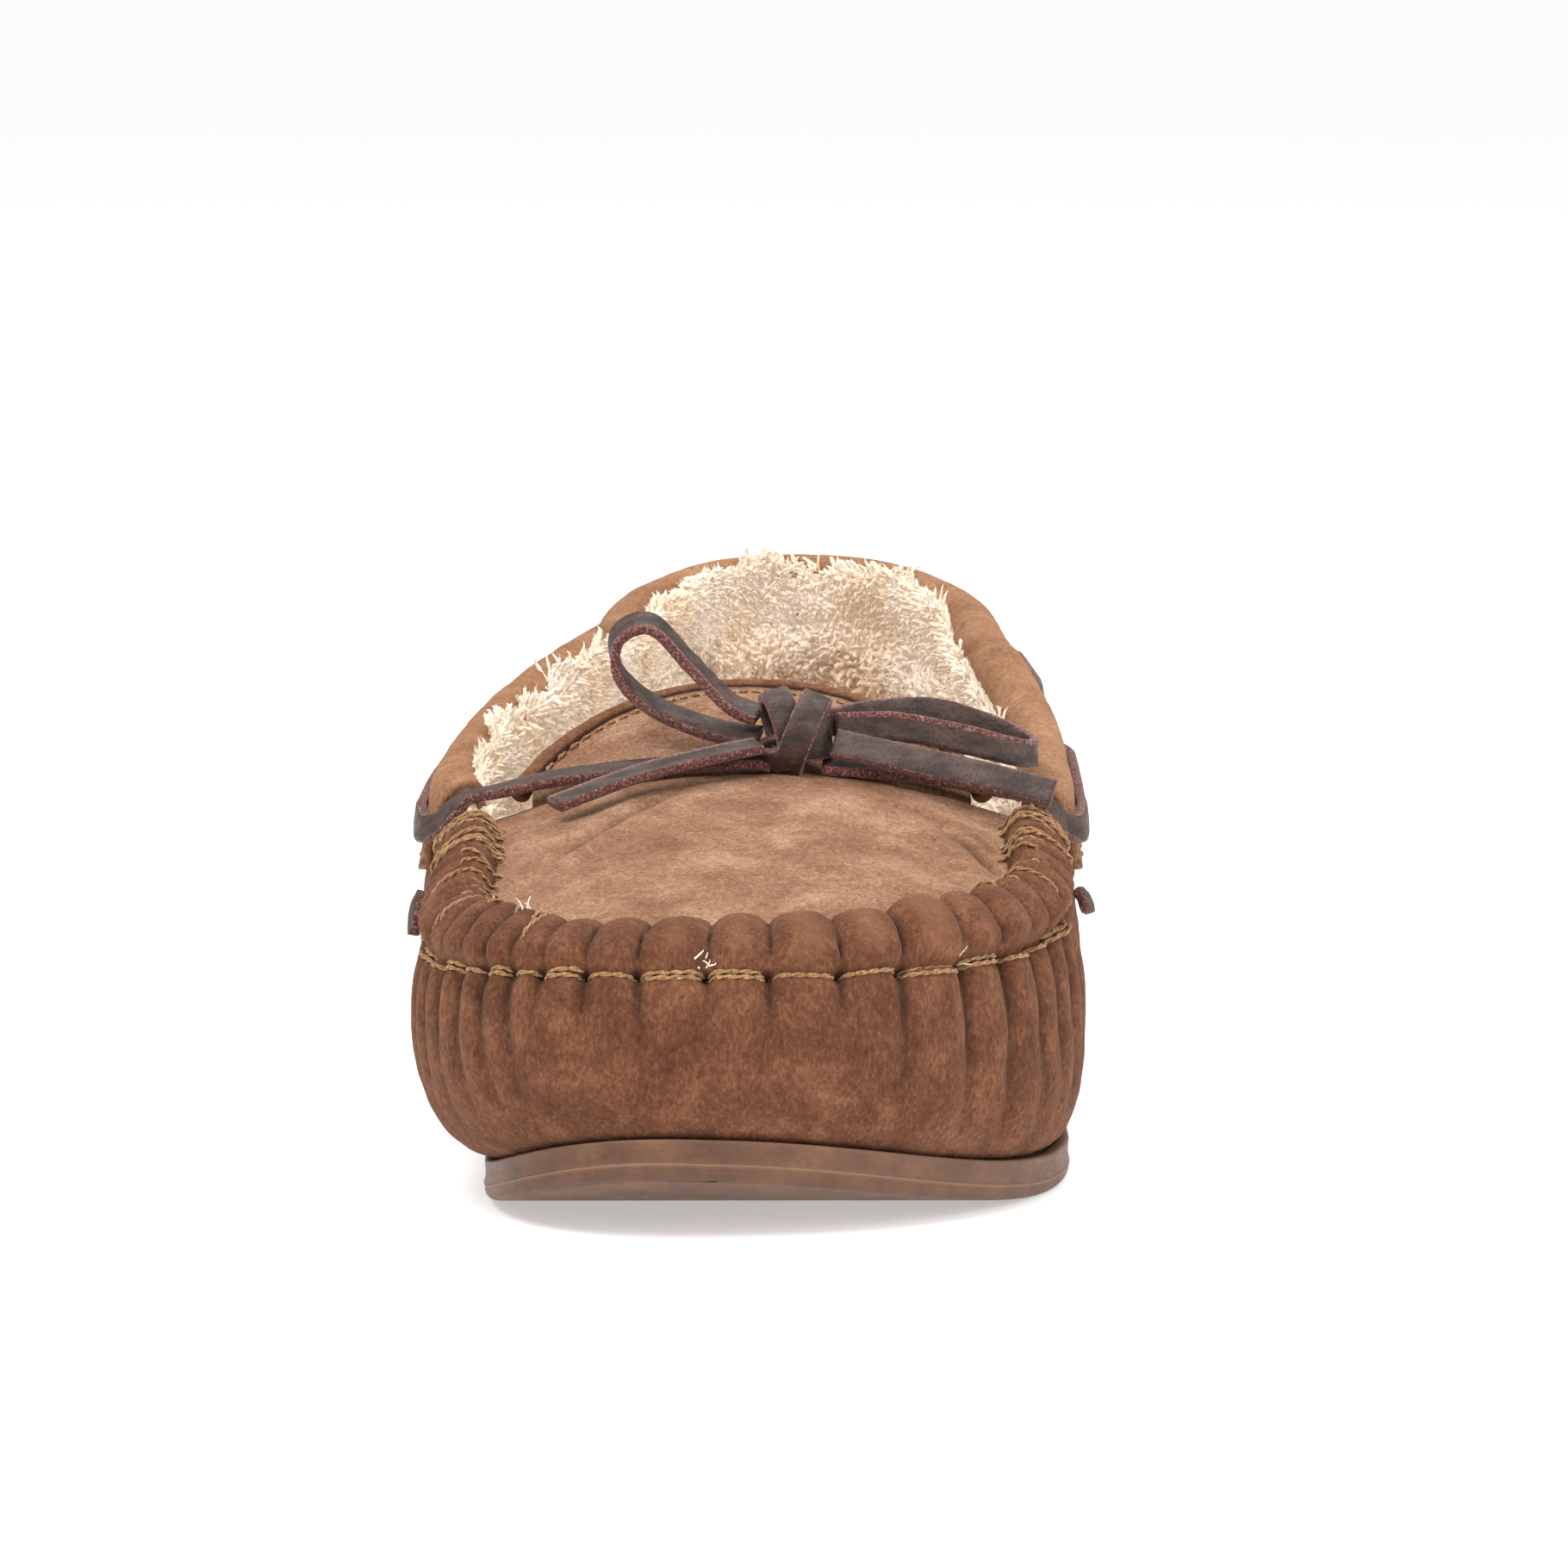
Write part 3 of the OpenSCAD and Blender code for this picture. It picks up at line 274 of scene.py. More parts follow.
def collar_g(s, side):
    """g where the collar's edge is at a distance from the toe, on one side."""
    return -side * np.interp(s, edge_s, edge_g)


# ---------- soft irregularity ----------


def lattice(i, seed):
    n = i[..., 0] * 374761393 + i[..., 1] * 668265263 + i[..., 2] * 1442695041 + seed * 1274126177
    n = (n ^ (n >> 13)) * 1103515245
    return ((n ^ (n >> 16)) & 65535) / 32767.5 - 1


def ripple(p, size, seed=0):
    """Smooth noise from -1 to 1 at points in mm, with lumps of a size in mm."""
    p = np.asarray(p, float) / size
    i = np.floor(p).astype(np.int64)
    f = p - i
    f = f * f * (3 - 2 * f)
    total = 0
    for corner in range(8):
        c = np.array([corner & 1, corner >> 1 & 1, corner >> 2 & 1])
        weight = np.prod(np.where(c, f, 1 - f), axis=-1)
        total = total + weight * lattice(i + c, seed)
    return total


def lumps(p, size, seed=0, octaves=3):
    return sum(ripple(p, size / 2**k, seed + 7 * k) / 2**k for k in range(octaves))


# ---------- meshes from grids of points ----------


def strip(a, b):
    """Triangles between two rows of point numbers that may differ in length."""
    faces, i, j = [], 0, 0
    while i < len(a) - 1 or j < len(b) - 1:
        if j == len(b) - 1 or (i < len(a) - 1 and (i + 1) * (len(b) - 1) <= (j + 1) * (len(a) - 1)):
            faces.append((a[i], a[i + 1], b[j]))
            i += 1
        else:
            faces.append((a[i], b[j + 1], b[j]))
            j += 1
    return faces


def grid_faces(rows, cols, start=0, ring=False, flip=False):
    n = np.arange(rows * cols).reshape(rows, cols) + start
    if ring:
        n = np.concatenate([n, n[:, :1]], axis=1)
    q = np.stack([n[:-1, :-1], n[:-1, 1:], n[1:, 1:], n[1:, :-1]], -1).reshape(-1, 4)
    return (q[:, ::-1] if flip else q).tolist(), n


def closed_sheet(outer, inner, ring=False):
    """A leather layer between an outer and an inner grid with the same columns, closed all round."""
    faces, n = grid_faces(*outer.shape[:2], ring=ring)
    back, m = grid_faces(*inner.shape[:2], start=outer.shape[0] * outer.shape[1], ring=ring, flip=True)
    faces = faces + back
    for row in (0, -1):
        a, b = n[row], m[row]
        faces += np.stack([a[:-1], a[1:], b[1:], b[:-1]], -1).tolist()
    if not ring:
        for col in (0, -1):
            faces += strip(n[:, col].tolist(), m[:, col].tolist())
    return np.concatenate([outer.reshape(-1, 3), inner.reshape(-1, 3)]), faces


def swept(rings, closed=False):
    """A bar through rings of points, capped at both ends unless it closes on itself."""
    rows, cols = rings.shape[:2]
    n = np.arange(rows * cols).reshape(rows, cols)
    n = np.concatenate([n, n[:, :1]], axis=1)
    if closed:
        n = np.concatenate([n, n[:1]], axis=0)
    faces = np.stack([n[:-1, :-1], n[:-1, 1:], n[1:, 1:], n[1:, :-1]], -1).reshape(-1, 4).tolist()
    if not closed:
        faces += [n[0, :-1][::-1].tolist(), n[-1, :-1].tolist()]
    return rings.reshape(-1, 3), faces


def joined(parts):
    """Several bars as one mesh."""
    points, faces, start = [], [], 0
    for p, f in parts:
        points.append(p)
        faces += [[i + start for i in face] for face in f]
        start += len(p)
    return np.concatenate(points), faces


def piece(name, body, materials, shape, stands_for=(), values=None, face_material=None, turn=True):
    """A visible piece in metres, riding on its body, with its finish and what it stands for."""
    points, faces = shape
    mesh = bpy.data.meshes.new(name)
    mesh.from_pydata((points * MM).tolist(), [], faces)
    for key, value in (values or {}).items():
        mesh.attributes.new(key, "FLOAT", "POINT").data.foreach_set("value", np.asarray(value, np.float32))
    for material in materials:
        mesh.materials.append(material)
    if face_material is not None:
        mesh.polygons.foreach_set("material_index", np.asarray(face_material, np.int32))
    if turn:
        work = bmesh.new()
        work.from_mesh(mesh)
        bmesh.ops.recalc_face_normals(work, faces=work.faces)
        work.to_mesh(mesh)
        work.free()
    mesh.shade_smooth()
    obj = link(bpy.data.objects.new(name, mesh))
    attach(obj, body)
    if stands_for:
        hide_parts(*stands_for)
    return obj


def spline(points, steps):
    """A smooth curve through control points, with the same number of steps between each."""
    p = np.asarray(points, float)
    n = len(p)
    out = []
    for i in range(n - 1):
        a, b, c, d = p[max(i - 1, 0)], p[i], p[i + 1], p[min(i + 2, n - 1)]
        for u in np.arange(steps) / steps:
            cubic = (3 * b - a - 3 * c + d) * u**3
            out.append(0.5 * (2 * b + (c - a) * u + (2 * a - 5 * b + 4 * c - d) * u * u + cubic))
    return np.array(out + [p[-1]])


def circle(count):
    return np.linspace(0, 2 * math.pi, count, endpoint=False)


def spokes(angles, across, up):
    """Directions round a line, from the two that lie square to it."""
    return np.cos(angles)[None, :, None] * across[:, None] + np.sin(angles)[None, :, None] * up[:, None]


def edge_to_edge(count):
    """Steps across a panel from 1 to -1, closest together at its edges."""
    return np.sin(np.linspace(math.pi / 2, -math.pi / 2, count))


def all_round(count):
    """Steps of g once round the shoe from the back seam."""
    return np.concatenate([np.linspace(-3, 0, count)[:-1], np.linspace(0, 3, count)[:-1]])


def tangents(path, closed=False):
    if closed:
        return unit(np.roll(path, -1, 0) - np.roll(path, 1, 0))
    return unit(np.gradient(path, axis=0))


# ---------- materials ----------


class Wire:
    """One output of a material's nodes, so that maths on it reads as Python."""

    def __init__(self, paint, socket):
        self.paint, self.socket = paint, socket

    def maths(self, operation, a, b):
        return self.paint.node("ShaderNodeMath", {"operation": operation}, {0: a, 1: b})

    def __add__(self, other):
        return self.maths("ADD", self, other)

    __radd__ = __add__

    def __sub__(self, other):
        return self.maths("SUBTRACT", self, other)

    def __mul__(self, other):
        return self.maths("MULTIPLY", self, other)

    __rmul__ = __mul__


class Paint:
    """A material whose nodes are made in the order that its surface is described."""

    def __init__(self, name):
        self.material = bpy.data.materials.new(name)
        self.material.use_nodes = True
        self.tree = self.material.node_tree
        self.shader = self.tree.nodes["Principled BSDF"]
        self.place = self.node("ShaderNodeTexCoord", out="Object")

    def node(self, kind, settings=None, sockets=None, out=0):
        made = self.tree.nodes.new(kind)
        for key, value in (settings or {}).items():
            if key == "stops":
                ramp = made.color_ramp
                while len(ramp.elements) < len(value):
                    ramp.elements.new(0.5)
                for element, (position, colour) in zip(ramp.elements, value):
                    element.position, element.color = position, (*colour, 1)
            else:
                setattr(made, key, value)
        for key, value in (sockets or {}).items():
            self.plug(made.inputs[key], value)
        return Wire(self, made.outputs[out])

    def plug(self, socket, value):
        if isinstance(value, Wire):
            self.tree.links.new(value.socket, socket)
        elif hasattr(value, "__len__") and len(value) == 3 and socket.type == "RGBA":
            socket.default_value = (*value, 1)
        else:
            socket.default_value = value

    def noise(self, size, detail=3, rough=0.5, stretch=None, warp=0.0):
        """Noise from 0 to 1 with lumps of a size in mm, drawn out along an axis by stretch."""
        place = self.place
        if stretch:
            place = self.node("ShaderNodeMapping", None, {"Vector": place, "Scale": stretch})
        values = {"Vector": place, "Scale": 1 / (size * MM), "Detail": detail, "Roughness": rough}
        values["Distortion"] = warp
        return self.node("ShaderNodeTexNoise", None, values)

    def cells(self, size):
        return self.node("ShaderNodeTexVoronoi", None, {"Vector": self.place, "Scale": 1 / (size * MM)})

    def value(self, name):
        """A number kept on the mesh's points."""
        return self.node("ShaderNodeAttribute", {"attribute_name": name}, out="Fac")

    def ramp(self, wire, *stops):
        return self.node("ShaderNodeValToRGB", {"stops": stops}, {"Fac": wire})

    def span(self, wire, low, high, to_low=0.0, to_high=1.0):
        """Takes low..high to to_low..to_high, held at both ends."""
        values = {"Value": wire, "From Min": low, "From Max": high, "To Min": to_low, "To Max": to_high}
        return self.node("ShaderNodeMapRange", {"interpolation_type": "SMOOTHSTEP"}, values)

    def blend(self, share, a, b):
        """Colour a turned into colour b by a share."""
        return self.node("ShaderNodeMix", {"data_type": "RGBA"}, {0: share, 6: a, 7: b}, 2)

    def bumps(self, *layers):
        """Bumps on top of each other, each (height, depth in mm, strength)."""
        normal = None
        for height, depth, strength in layers:
            values = {"Height": height, "Distance": depth * MM, "Strength": strength}
            if normal is not None:
                values["Normal"] = normal
            normal = self.node("ShaderNodeBump", None, values)
        return normal

    def surface(self, colour, roughness, normal=None, **fixed):
        self.plug(self.shader.inputs["Base Color"], colour)
        self.plug(self.shader.inputs["Roughness"], roughness)
        if normal is not None:
            self.plug(self.shader.inputs["Normal"], normal)
        for key, value in fixed.items():
            self.plug(self.shader.inputs[key.replace("_", " ")], value)
        return self.material


def srgb(r, g, b):
    return tuple(((c / 255 + 0.055) / 1.055) ** 2.4 if c > 10 else c / 255 / 12.92 for c in (r, g, b))


def suede(name, dark, middle_tone, light, hollow_shade_tone, nap=1.0, mottle=9.0):
    """Napped suede: brushed patches, short lying fibres and painted shade in its hollows."""
    paint = Paint(name)
    patches = paint.noise(mottle, 4, 0.62, warp=0.6)
    brushed = paint.noise(2.4, 4, 0.65, stretch=(1, 1, 0.7), warp=1.6)
    fibres = paint.noise(0.55, 3, 0.75, stretch=(1, 1, 0.5))
    specks = paint.noise(0.9, 1, 0.5)
    tone = patches * 0.42 + brushed * 0.24 + fibres * 0.46 - 0.03
    colour = paint.ramp(tone, (0.36, dark), (0.53, middle_tone), (0.7, light))
    colour = paint.blend(paint.span(specks, 0.66, 0.76, 0, 0.35), colour, light)
    colour = paint.blend(paint.span(specks, 0.36, 0.26, 0, 0.4), colour, dark)
    # Painted shade: darker towards the shade tone in creases, holes, seams and under edges
    colour = paint.blend(paint.span(paint.value("hollow"), 0.08, 1.0, 0, 0.92), colour, hollow_shade_tone)
    colour = paint.blend(paint.span(paint.value("worn"), 0.2, 1.0, 0, 0.4), colour, light)
    grit = paint.noise(0.22, 1)
    normal = paint.bumps((brushed, 0.55 * nap, 0.6), (fibres, 0.34 * nap, 0.85), (grit, 0.1, 0.5))
    return paint.surface(
        colour, paint.span(tone, 0.3, 0.8, 0.98, 0.86), normal, Specular_IOR_Level=0.18,
        Sheen_Weight=0.12, Sheen_Roughness=0.45, Sheen_Tint=srgb(238, 196, 160),
    )


# Dark, middle and light tones of each suede, and the tone of the painted shade in its hollows
wrap_suede = suede("wrap_suede", srgb(66, 37, 24), srgb(99, 61, 42), srgb(137, 93, 67), srgb(28, 15, 10))
plug_suede = suede(
    "plug_suede", srgb(96, 60, 40), srgb(141, 103, 79), srgb(184, 150, 123), srgb(48, 28, 19),
    nap=0.8, mottle=12
)
cuff_suede = suede(
    "cuff_suede", srgb(108, 72, 50), srgb(146, 105, 76), srgb(178, 138, 106), srgb(52, 31, 21),
    nap=0.8, mottle=11
)
binding_suede = suede(
    "binding_suede", srgb(82, 49, 33), srgb(112, 73, 51), srgb(144, 102, 76), srgb(34, 19, 13),
    nap=0.9, mottle=5
)


def wool(name, pale, cream, root_and_shade_tone):
    """Shearling: pale tips, yellower roots, fine crimped fibres, painted shade where it lies deep in the
    shoe, and a painted glow.
    """
    paint = Paint(name)
    drift = paint.noise(11, 3, 0.55)
    fibres = paint.noise(0.3, 2, 0.6, warp=1.5)
    colour = paint.ramp(drift, (0.35, cream), (0.6, pale))
    # The deep value darkens towards the root tone: partly the wool's own yellower roots and partly painted
    # shade
    colour = paint.blend(paint.span(paint.value("deep") + drift * 0.3, 0.15, 1.15, 0, 0.9), colour, root_and_shade_tone)
    colour = paint.blend(paint.span(fibres, 0.62, 0.35, 0, 0.12), colour, root_and_shade_tone)
    normal = paint.bumps((paint.noise(1.3, 3, 0.6, warp=1.0), 0.5, 0.5), (fibres, 0.2, 0.5))
    # Painted light: the wool glows with its own colour, standing in for light scattered through the fleece
    return paint.surface(
        colour, 0.95, normal, Specular_IOR_Level=0.12, Sheen_Weight=0.3, Sheen_Roughness=0.5,
        Sheen_Tint=(1, 0.95, 0.88), Emission_Color=colour, Emission_Strength=0.27,
    )


shearling = wool("shearling", srgb(246, 232, 216), srgb(238, 216, 188), srgb(164, 112, 64))

paint = Paint("lace_grain")
pores = paint.cells(0.55)
creases = paint.noise(2.2, 4, 0.6, stretch=(0.4, 1, 1))
colour = paint.ramp(creases, (0.38, srgb(50, 36, 31)), (0.62, srgb(82, 62, 54)))
colour = paint.blend(paint.span(pores, 0.5, 0.75, 0, 0.45), colour, srgb(40, 30, 28))
lace_grain = paint.surface(
    colour, paint.span(creases, 0.3, 0.7, 0.62, 0.5), paint.bumps((pores, 0.12, 0.55), (creases, 0.2, 0.4)),
    Specular_IOR_Level=0.4,
)
paint = Paint("lace_edge")
fuzz = paint.noise(0.4, 3, 0.7)
colour = paint.ramp(fuzz, (0.36, srgb(66, 34, 32)), (0.52, srgb(108, 66, 60)), (0.68, srgb(168, 126, 120)))
normal = paint.bumps((fuzz, 0.3, 0.9))
lace_edge = paint.surface(colour, 0.95, normal, Specular_IOR_Level=0.15, Sheen_Weight=0.25)

paint = Paint("thread")
fuzz = paint.noise(0.5, 3, 0.6)
colour = paint.ramp(fuzz, (0.34, srgb(112, 78, 48)), (0.6, srgb(166, 126, 84)), (0.75, srgb(204, 170, 126)))
thread = paint.surface(colour, 0.8, paint.bumps((fuzz, 0.15, 0.7)), Specular_IOR_Level=0.25, Sheen_Weight=0.2)

paint = Paint("sole_rubber")
mottle = paint.noise(7, 4, 0.6)
scuffs = paint.noise(1.1, 4, 0.65, stretch=(1, 1, 3))
tone = mottle * 0.6 + scuffs * 0.4
colour = paint.ramp(tone, (0.36, srgb(76, 47, 29)), (0.52, srgb(97, 63, 41)), (0.68, srgb(118, 80, 54)))
# Painted shade: darker in the tread grooves, under the bevel and where the rim meets the upper
colour = paint.blend(paint.value("hollow"), colour, srgb(38, 25, 18))
colour = paint.blend(paint.value("worn") * 0.45, colour, srgb(156, 120, 94))
sole_rubber = paint.surface(
    colour, paint.span(scuffs, 0.35, 0.65, 0.42, 0.62),
    paint.bumps((scuffs, 0.12, 0.35), (paint.cells(0.35), 0.04, 0.3)),
    Specular_IOR_Level=0.45,
)


def board(name, dark, light, size):
    """Pressed fibre or felt, which the finished shoe hides."""
    paint = Paint(name)
    grain = paint.noise(size, 4, 0.6)
    colour = paint.ramp(grain, (0.35, dark), (0.65, light))
    return paint.surface(colour, 0.9, paint.bumps((grain, 0.3, 0.5)))


fibre_board = board("fibre_board", srgb(150, 124, 90), srgb(190, 164, 126), 1.5)
felt = board("filler_felt", srgb(120, 106, 86), srgb(160, 146, 122), 0.8)

paint = Paint("floor")
floor_paint = paint.surface(
    srgb(240, 240, 240), paint.noise(400, 2) * 0.1 + 0.8, Specular_IOR_Level=0.1,
    Emission_Color=(1, 1, 1, 1), Emission_Strength=0.42,
)

# ---------- the lace ----------

LACE_OUT = CUFF_T + 3 * GAP + LACE_T / 2
LACE_IN = -(LACE_T + 5 * GAP) / 2
OVER_S = THROAT_S - 3
WINDOWS = [
    (THROAT_S - 20, THROAT_S + 40), (THROAT_S + 62, THROAT_S + 88), (UPPER_LEN - 32, UPPER_LEN - 16)
]
KNOT = np.array([6.9, 94.5 - UPPER_LEN / 2, 63.57])
KNOT_R = 5.4
# A lace's cut across: flat grain above, raw edges, and a slightly ragged underside
SECTION = np.array([
    (-0.5, 0.12), (-0.485, 0.36), (-0.44, 0.47), (-0.3, 0.5), (-0.1, 0.505), (0.1, 0.505), (0.3, 0.5),
    (0.44, 0.47), (0.485, 0.36), (0.5, 0.12), (0.49, -0.3), (0.46, -0.5), (0.3, -0.47), (0.1, -0.46),
    (-0.1, -0.46), (-0.3, -0.47), (-0.46, -0.5), (-0.49, -0.3),
])
GRAIN = {2, 3, 4, 5, 6, 12, 13, 14, 15}


def strap(path, facing, seed, closed=False, width=LACE_W, taper=None):
    """A flat lace along a path, its grain facing the way given, as points, faces and which are grain."""
    along = tangents(path, closed)
    up = unit(facing - along * np.sum(facing * along, -1, keepdims=True))
    side = np.cross(up, along)
    w = width * (1 + 0.035 * ripple(path, 7, seed)) * (1 if taper is None else taper)
    across = SECTION[:, 0] * w[:, None]
    over = np.repeat(SECTION[None, :, 1] * LACE_T, len(path), 0)
    rings = path[:, None] + side[:, None] * across[..., None] + up[:, None] * over[..., None]
    raw = np.array([0.0 if i in (3, 4, 5, 6) else 1.0 for i in range(len(SECTION))])
    rings = rings + (raw * 0.07 * ripple(rings, 0.8, seed + 3))[..., None] * unit(rings - path[:, None])
    points, faces = swept(rings, closed)
    n = len(SECTION)
    count = (len(path) if closed else len(path) - 1) * n
    grain = [0 if i % n in GRAIN else 1 for i in range(count)] + [1] * (len(faces) - count)
    return points, faces, grain


def straps(name, body, parts, stands_for):
    shape = joined([p[:2] for p in parts])
    grain = [g for p in parts for g in p[2]]
    finish = [lace_grain, lace_edge]
    return piece(name, body, finish, shape, stands_for, face_material=grain)


def in_window(s):
    rise = [smooth((s - a) / SLIT_LEN + 0.5) * smooth((b - s) / SLIT_LEN + 0.5) for a, b in WINDOWS]
    return np.max(rise, axis=0)


def lace_at(s, side):
    g = collar_g(s, side)
    return offset_at(g, t_below(g, LACE_DEPTH), mix(LACE_IN, LACE_OUT + 0.2, in_window(s)))


def lace_face(s, side):
    g = collar_g(s, side)
    return normal_at(g, t_below(g, LACE_DEPTH))


def crown(u):
    return 1 - np.abs(u) ** 2.2


def bridge_z(x):
    """Height of the tongue and plug under the lace at x."""
    low = seam_z(PLUG_BACK)
    return low - 0.4 + (PLUG_BACK_Z - low) * crown(min(1, abs(x - middle(ROOT_S)) / SEAM_HALF_W))


def throat_path(side):
    def beside(s, depth, d):
        g = collar_g(s, side)
        return offset_at(g, t_below(g, depth), d + LACE_T / 2)

    def over(x, s, up):
        return np.array([x, s - UPPER_LEN / 2, bridge_z(x) + up])

    edge = skin(collar_g(OVER_S, side), 1.0)
    near, knot_s = KNOT[0], KNOT[1] + UPPER_LEN / 2
    return [
        lace_at(OVER_S + 12, side), beside(OVER_S + 6, 7, CUFF_T + 3 * GAP),
        beside(OVER_S + 2.5, 6.4, 6 * GAP), beside(OVER_S + 0.5, 2.5, 8 * GAP),
        edge + [side * 0.4, 0, LACE_T / 2 + 1.4], edge + [-side * 4, -0.4, LACE_T / 2 + 2.4],
        over(side * 27, knot_s + 1.6, 3), over(near + side * 10, knot_s - 0.5, LACE_T / 2 + 1.2),
        over(near + side * 4, knot_s - 0.5, LACE_T / 2 + 0.8),
    ]


def throat_faces(side):
    beside = [normal_at(collar_g(OVER_S + d, side), 0.9) for d in (6, 2.5, 0.5)]
    across = [[side * 0.7, -0.1, 1], [0, -0.1, 1]]
    down = [[side * 0.3, -0.25, 1], [side * 0.1, -0.25, 1], [0, -0.25, 1]]
    return [lace_face(OVER_S + 12, side), *beside, *across, *down]


def half_lace(side):
    """One side's lace from the knot round to the back of the heel, and which way its grain looks."""
    heel = outline(TOP, np.linspace(2.02, 2.99, 60), -1.0)[1]
    s = np.concatenate([np.arange(OVER_S + 16, HEEL_S, 1.5), heel])
    path = np.concatenate([spline(throat_path(side), 7)[::-1], lace_at(s, side)])
    return path, np.concatenate([spline(throat_faces(side), 7)[::-1], lace_face(s, side)])


medial_half, lateral_half = half_lace(MEDIAL), half_lace(LATERAL)
lace_path = np.concatenate([medial_half[0], lateral_half[0][::-1]])
lace_faces = np.concatenate([medial_half[1], lateral_half[1][::-1]])
straps("collar_lace_thong", "shoe", [strap(lace_path, lace_faces, seed=11)], ["collar_lace"])

# The bow's straps, as steps from the knot's middle
START = KNOT_R + 0.4
BOW = {
    "bow_loop_medial": ([0.1, -0.85, -0.5], [
        [-START, 2.2, -1.2], [-12.4, 4.2, -0.4], [-21.7, 6, 3], [-27.4, 6.8, 8.2], [-27.6, 6.6, 14],
        [-22.5, 6, 15.9], [-16.4, 5, 10], [-10.6, 3.4, 4.2], [-START, 2.2, 2]]),
    "bow_loop_lateral": ([0, 0.15, 1], [
        [START, 2.8, 1], [11, 7.6, 1.6], [21, 11.6, 1.6], [29.4, 12, -0.8], [35.2, 9.4, -3.2],
        [36.8, 6.2, -4.2], [33.6, 3, -3.6], [26, 2.2, -1.6], [16, 1.6, 0.4], [START + 0.4, 0.8, 0.6]]),
    "bow_tail_medial": ([-0.3, 1, 0.22], [
        [-START, -2.6, -2], [-12.4, -5.2, -3], [-24.5, -9, -5.6], [-37, -15.6, -9.4]]),
    "bow_tail_lateral": ([0.1, 0.5, 0.85], [
        [START, -2.2, -1.6], [16, -4.6, -3.6], [28, -7, -6], [39.4, -9.4, -8.6]]),
}


for name, (width_way, steps) in BOW.items():
    path = KNOT + spline(steps, 14)
    facing = np.cross(tangents(path), np.array(width_way, float))
    made = straps(name + "_thong", name, [strap(path, facing, seed=len(steps))], [name])
    far_end = "object" if "loop" in name else "bare"


def band(centre, wide, high, tilt, turn, width, seed):
    """A turn of the lace round the knot: an oval hoop whose grain looks outwards."""
    a = circle(56)
    ring = np.stack([0 * a, wide * np.cos(a), high * np.sin(a)], -1)
    out = np.stack([0 * a, high * np.cos(a), wide * np.sin(a)], -1)

    def turned(v):
        c, s = math.cos(math.radians(tilt)), math.sin(math.radians(tilt))
        x, y, z = v[:, 0] * c + v[:, 2] * s, v[:, 1], -v[:, 0] * s + v[:, 2] * c
        c, s = math.cos(math.radians(turn)), math.sin(math.radians(turn))
        return np.stack([x * c - y * s, x * s + y * c, z], -1)

    path = KNOT + np.array(centre) + turned(ring)
    return strap(path, turned(unit(out)), closed=True, seed=seed, width=width)


straps("bow_knot_folds", "shoe", [
    band((0.9, -0.6, -0.4), wide=4.4, high=6.0, tilt=22, turn=-8, width=4.7, seed=5),
    band((-2.2, 0.2, 1.3), wide=3.6, high=4.6, tilt=-16, turn=14, width=4.6, seed=8),
    band((-3.0, -0.4, -3.4), wide=3.4, high=2.0, tilt=60, turn=30, width=3.8, seed=9),
    band((1.5, 0.4, -1.0), wide=2.6, high=3.2, tilt=84, turn=6, width=7.0, seed=10),
], ["bow_knot"])


# Where the cut end of the lace hangs, as sideways, forward and downward steps from its slot
DROOP = [(0, 0, 0), (1.0, -0.5, -2), (1.4, -1.0, -4.2), (1.7, -1.5, -6.5)]


def lace_end(side):
    """The cut end of the lace that runs round the collar, coming out of the wrap."""
    g = -side * g_of_s(THROAT_S - 14)
    a, long = offset_at(g, 0.62, LACE_T / 2 + 7 * GAP), 1.0 if side < 0 else 0.5
    path = spline([a + [side * x, y, z * long] for x, y, z in DROOP], 6)
    facing = np.repeat([[side, -0.3, 0.35]], len(path), 0)
    u = np.linspace(0, 1, len(path))
    tip = np.sqrt(np.clip((1.04 - u) / 0.5, 0, 1)) if side < 0 else np.clip((1.3 - u) / 0.5, 0, 1)
    return strap(path, facing, seed=20 + side, width=LACE_W * 0.8, taper=tip)


for side, word in SIDES:
    straps("lace_tip_" + word, "shoe", [lace_end(side)], ["lace_end_" + word])

# ---------- the gathered wrap ----------

# Arc distances of the thread's holes from the toe, along the seam, on each side
HOLES_MEDIAL = [
    1.6, 9.8, 16.1, 21.3, 24.8, 28.4, 32.4, 36.8, 41.2, 46, 51, 56.2, 61.6, 67, 72.5, 78, 83.5, 88.6, 93.4
]
HOLES_LATERAL = [6.4, 15.4, 23.8, 33.3, 40.6, 47.2, 52.6, 57.6, 62.8, 68, 73.2, 78.4, 83.4, 88, 92.4]
HOLES = np.array([-h for h in reversed(HOLES_LATERAL)] + HOLES_MEDIAL)
# How far round the seam is gathered, the wall's height along it, and how far down the pleats run
SEAM_ARC, SEAM_WALL = 92.0, 48.0
PLEAT_LONG, PLEAT_SHORT = 40.0, 17.0
# How proud a gather stands at the toe and at the sides, and the thread's holes and its pinch
GATHER_TOE, GATHER_SIDE = 2.2, 2.6
HOLE_R, HOLE_DEPTH, PINCH_DEPTH = 0.95, 1.3, 0.35


def stitch_t(arc):
    """How far up the wall the seam thread runs."""
    return mix(0.62, 0.7, smooth(np.abs(arc) / SEAM_ARC))


def gather(arc):
    """How proud a gather stands between two holes, from 0 in the crease to 1 on its back."""
    k = np.clip(np.searchsorted(HOLES, arc), 1, len(HOLES) - 1)
    left, right = HOLES[k - 1], HOLES[k]
    x = np.clip(2 * (arc - left) / (right - left) - 1, -1, 1)
    return np.sqrt(np.maximum(0, 1 - x**2)) * ((right - left) / 8) ** 0.5


def seam_end(arc):
    return smooth((SEAM_ARC + 4 - np.abs(arc)) / 5)


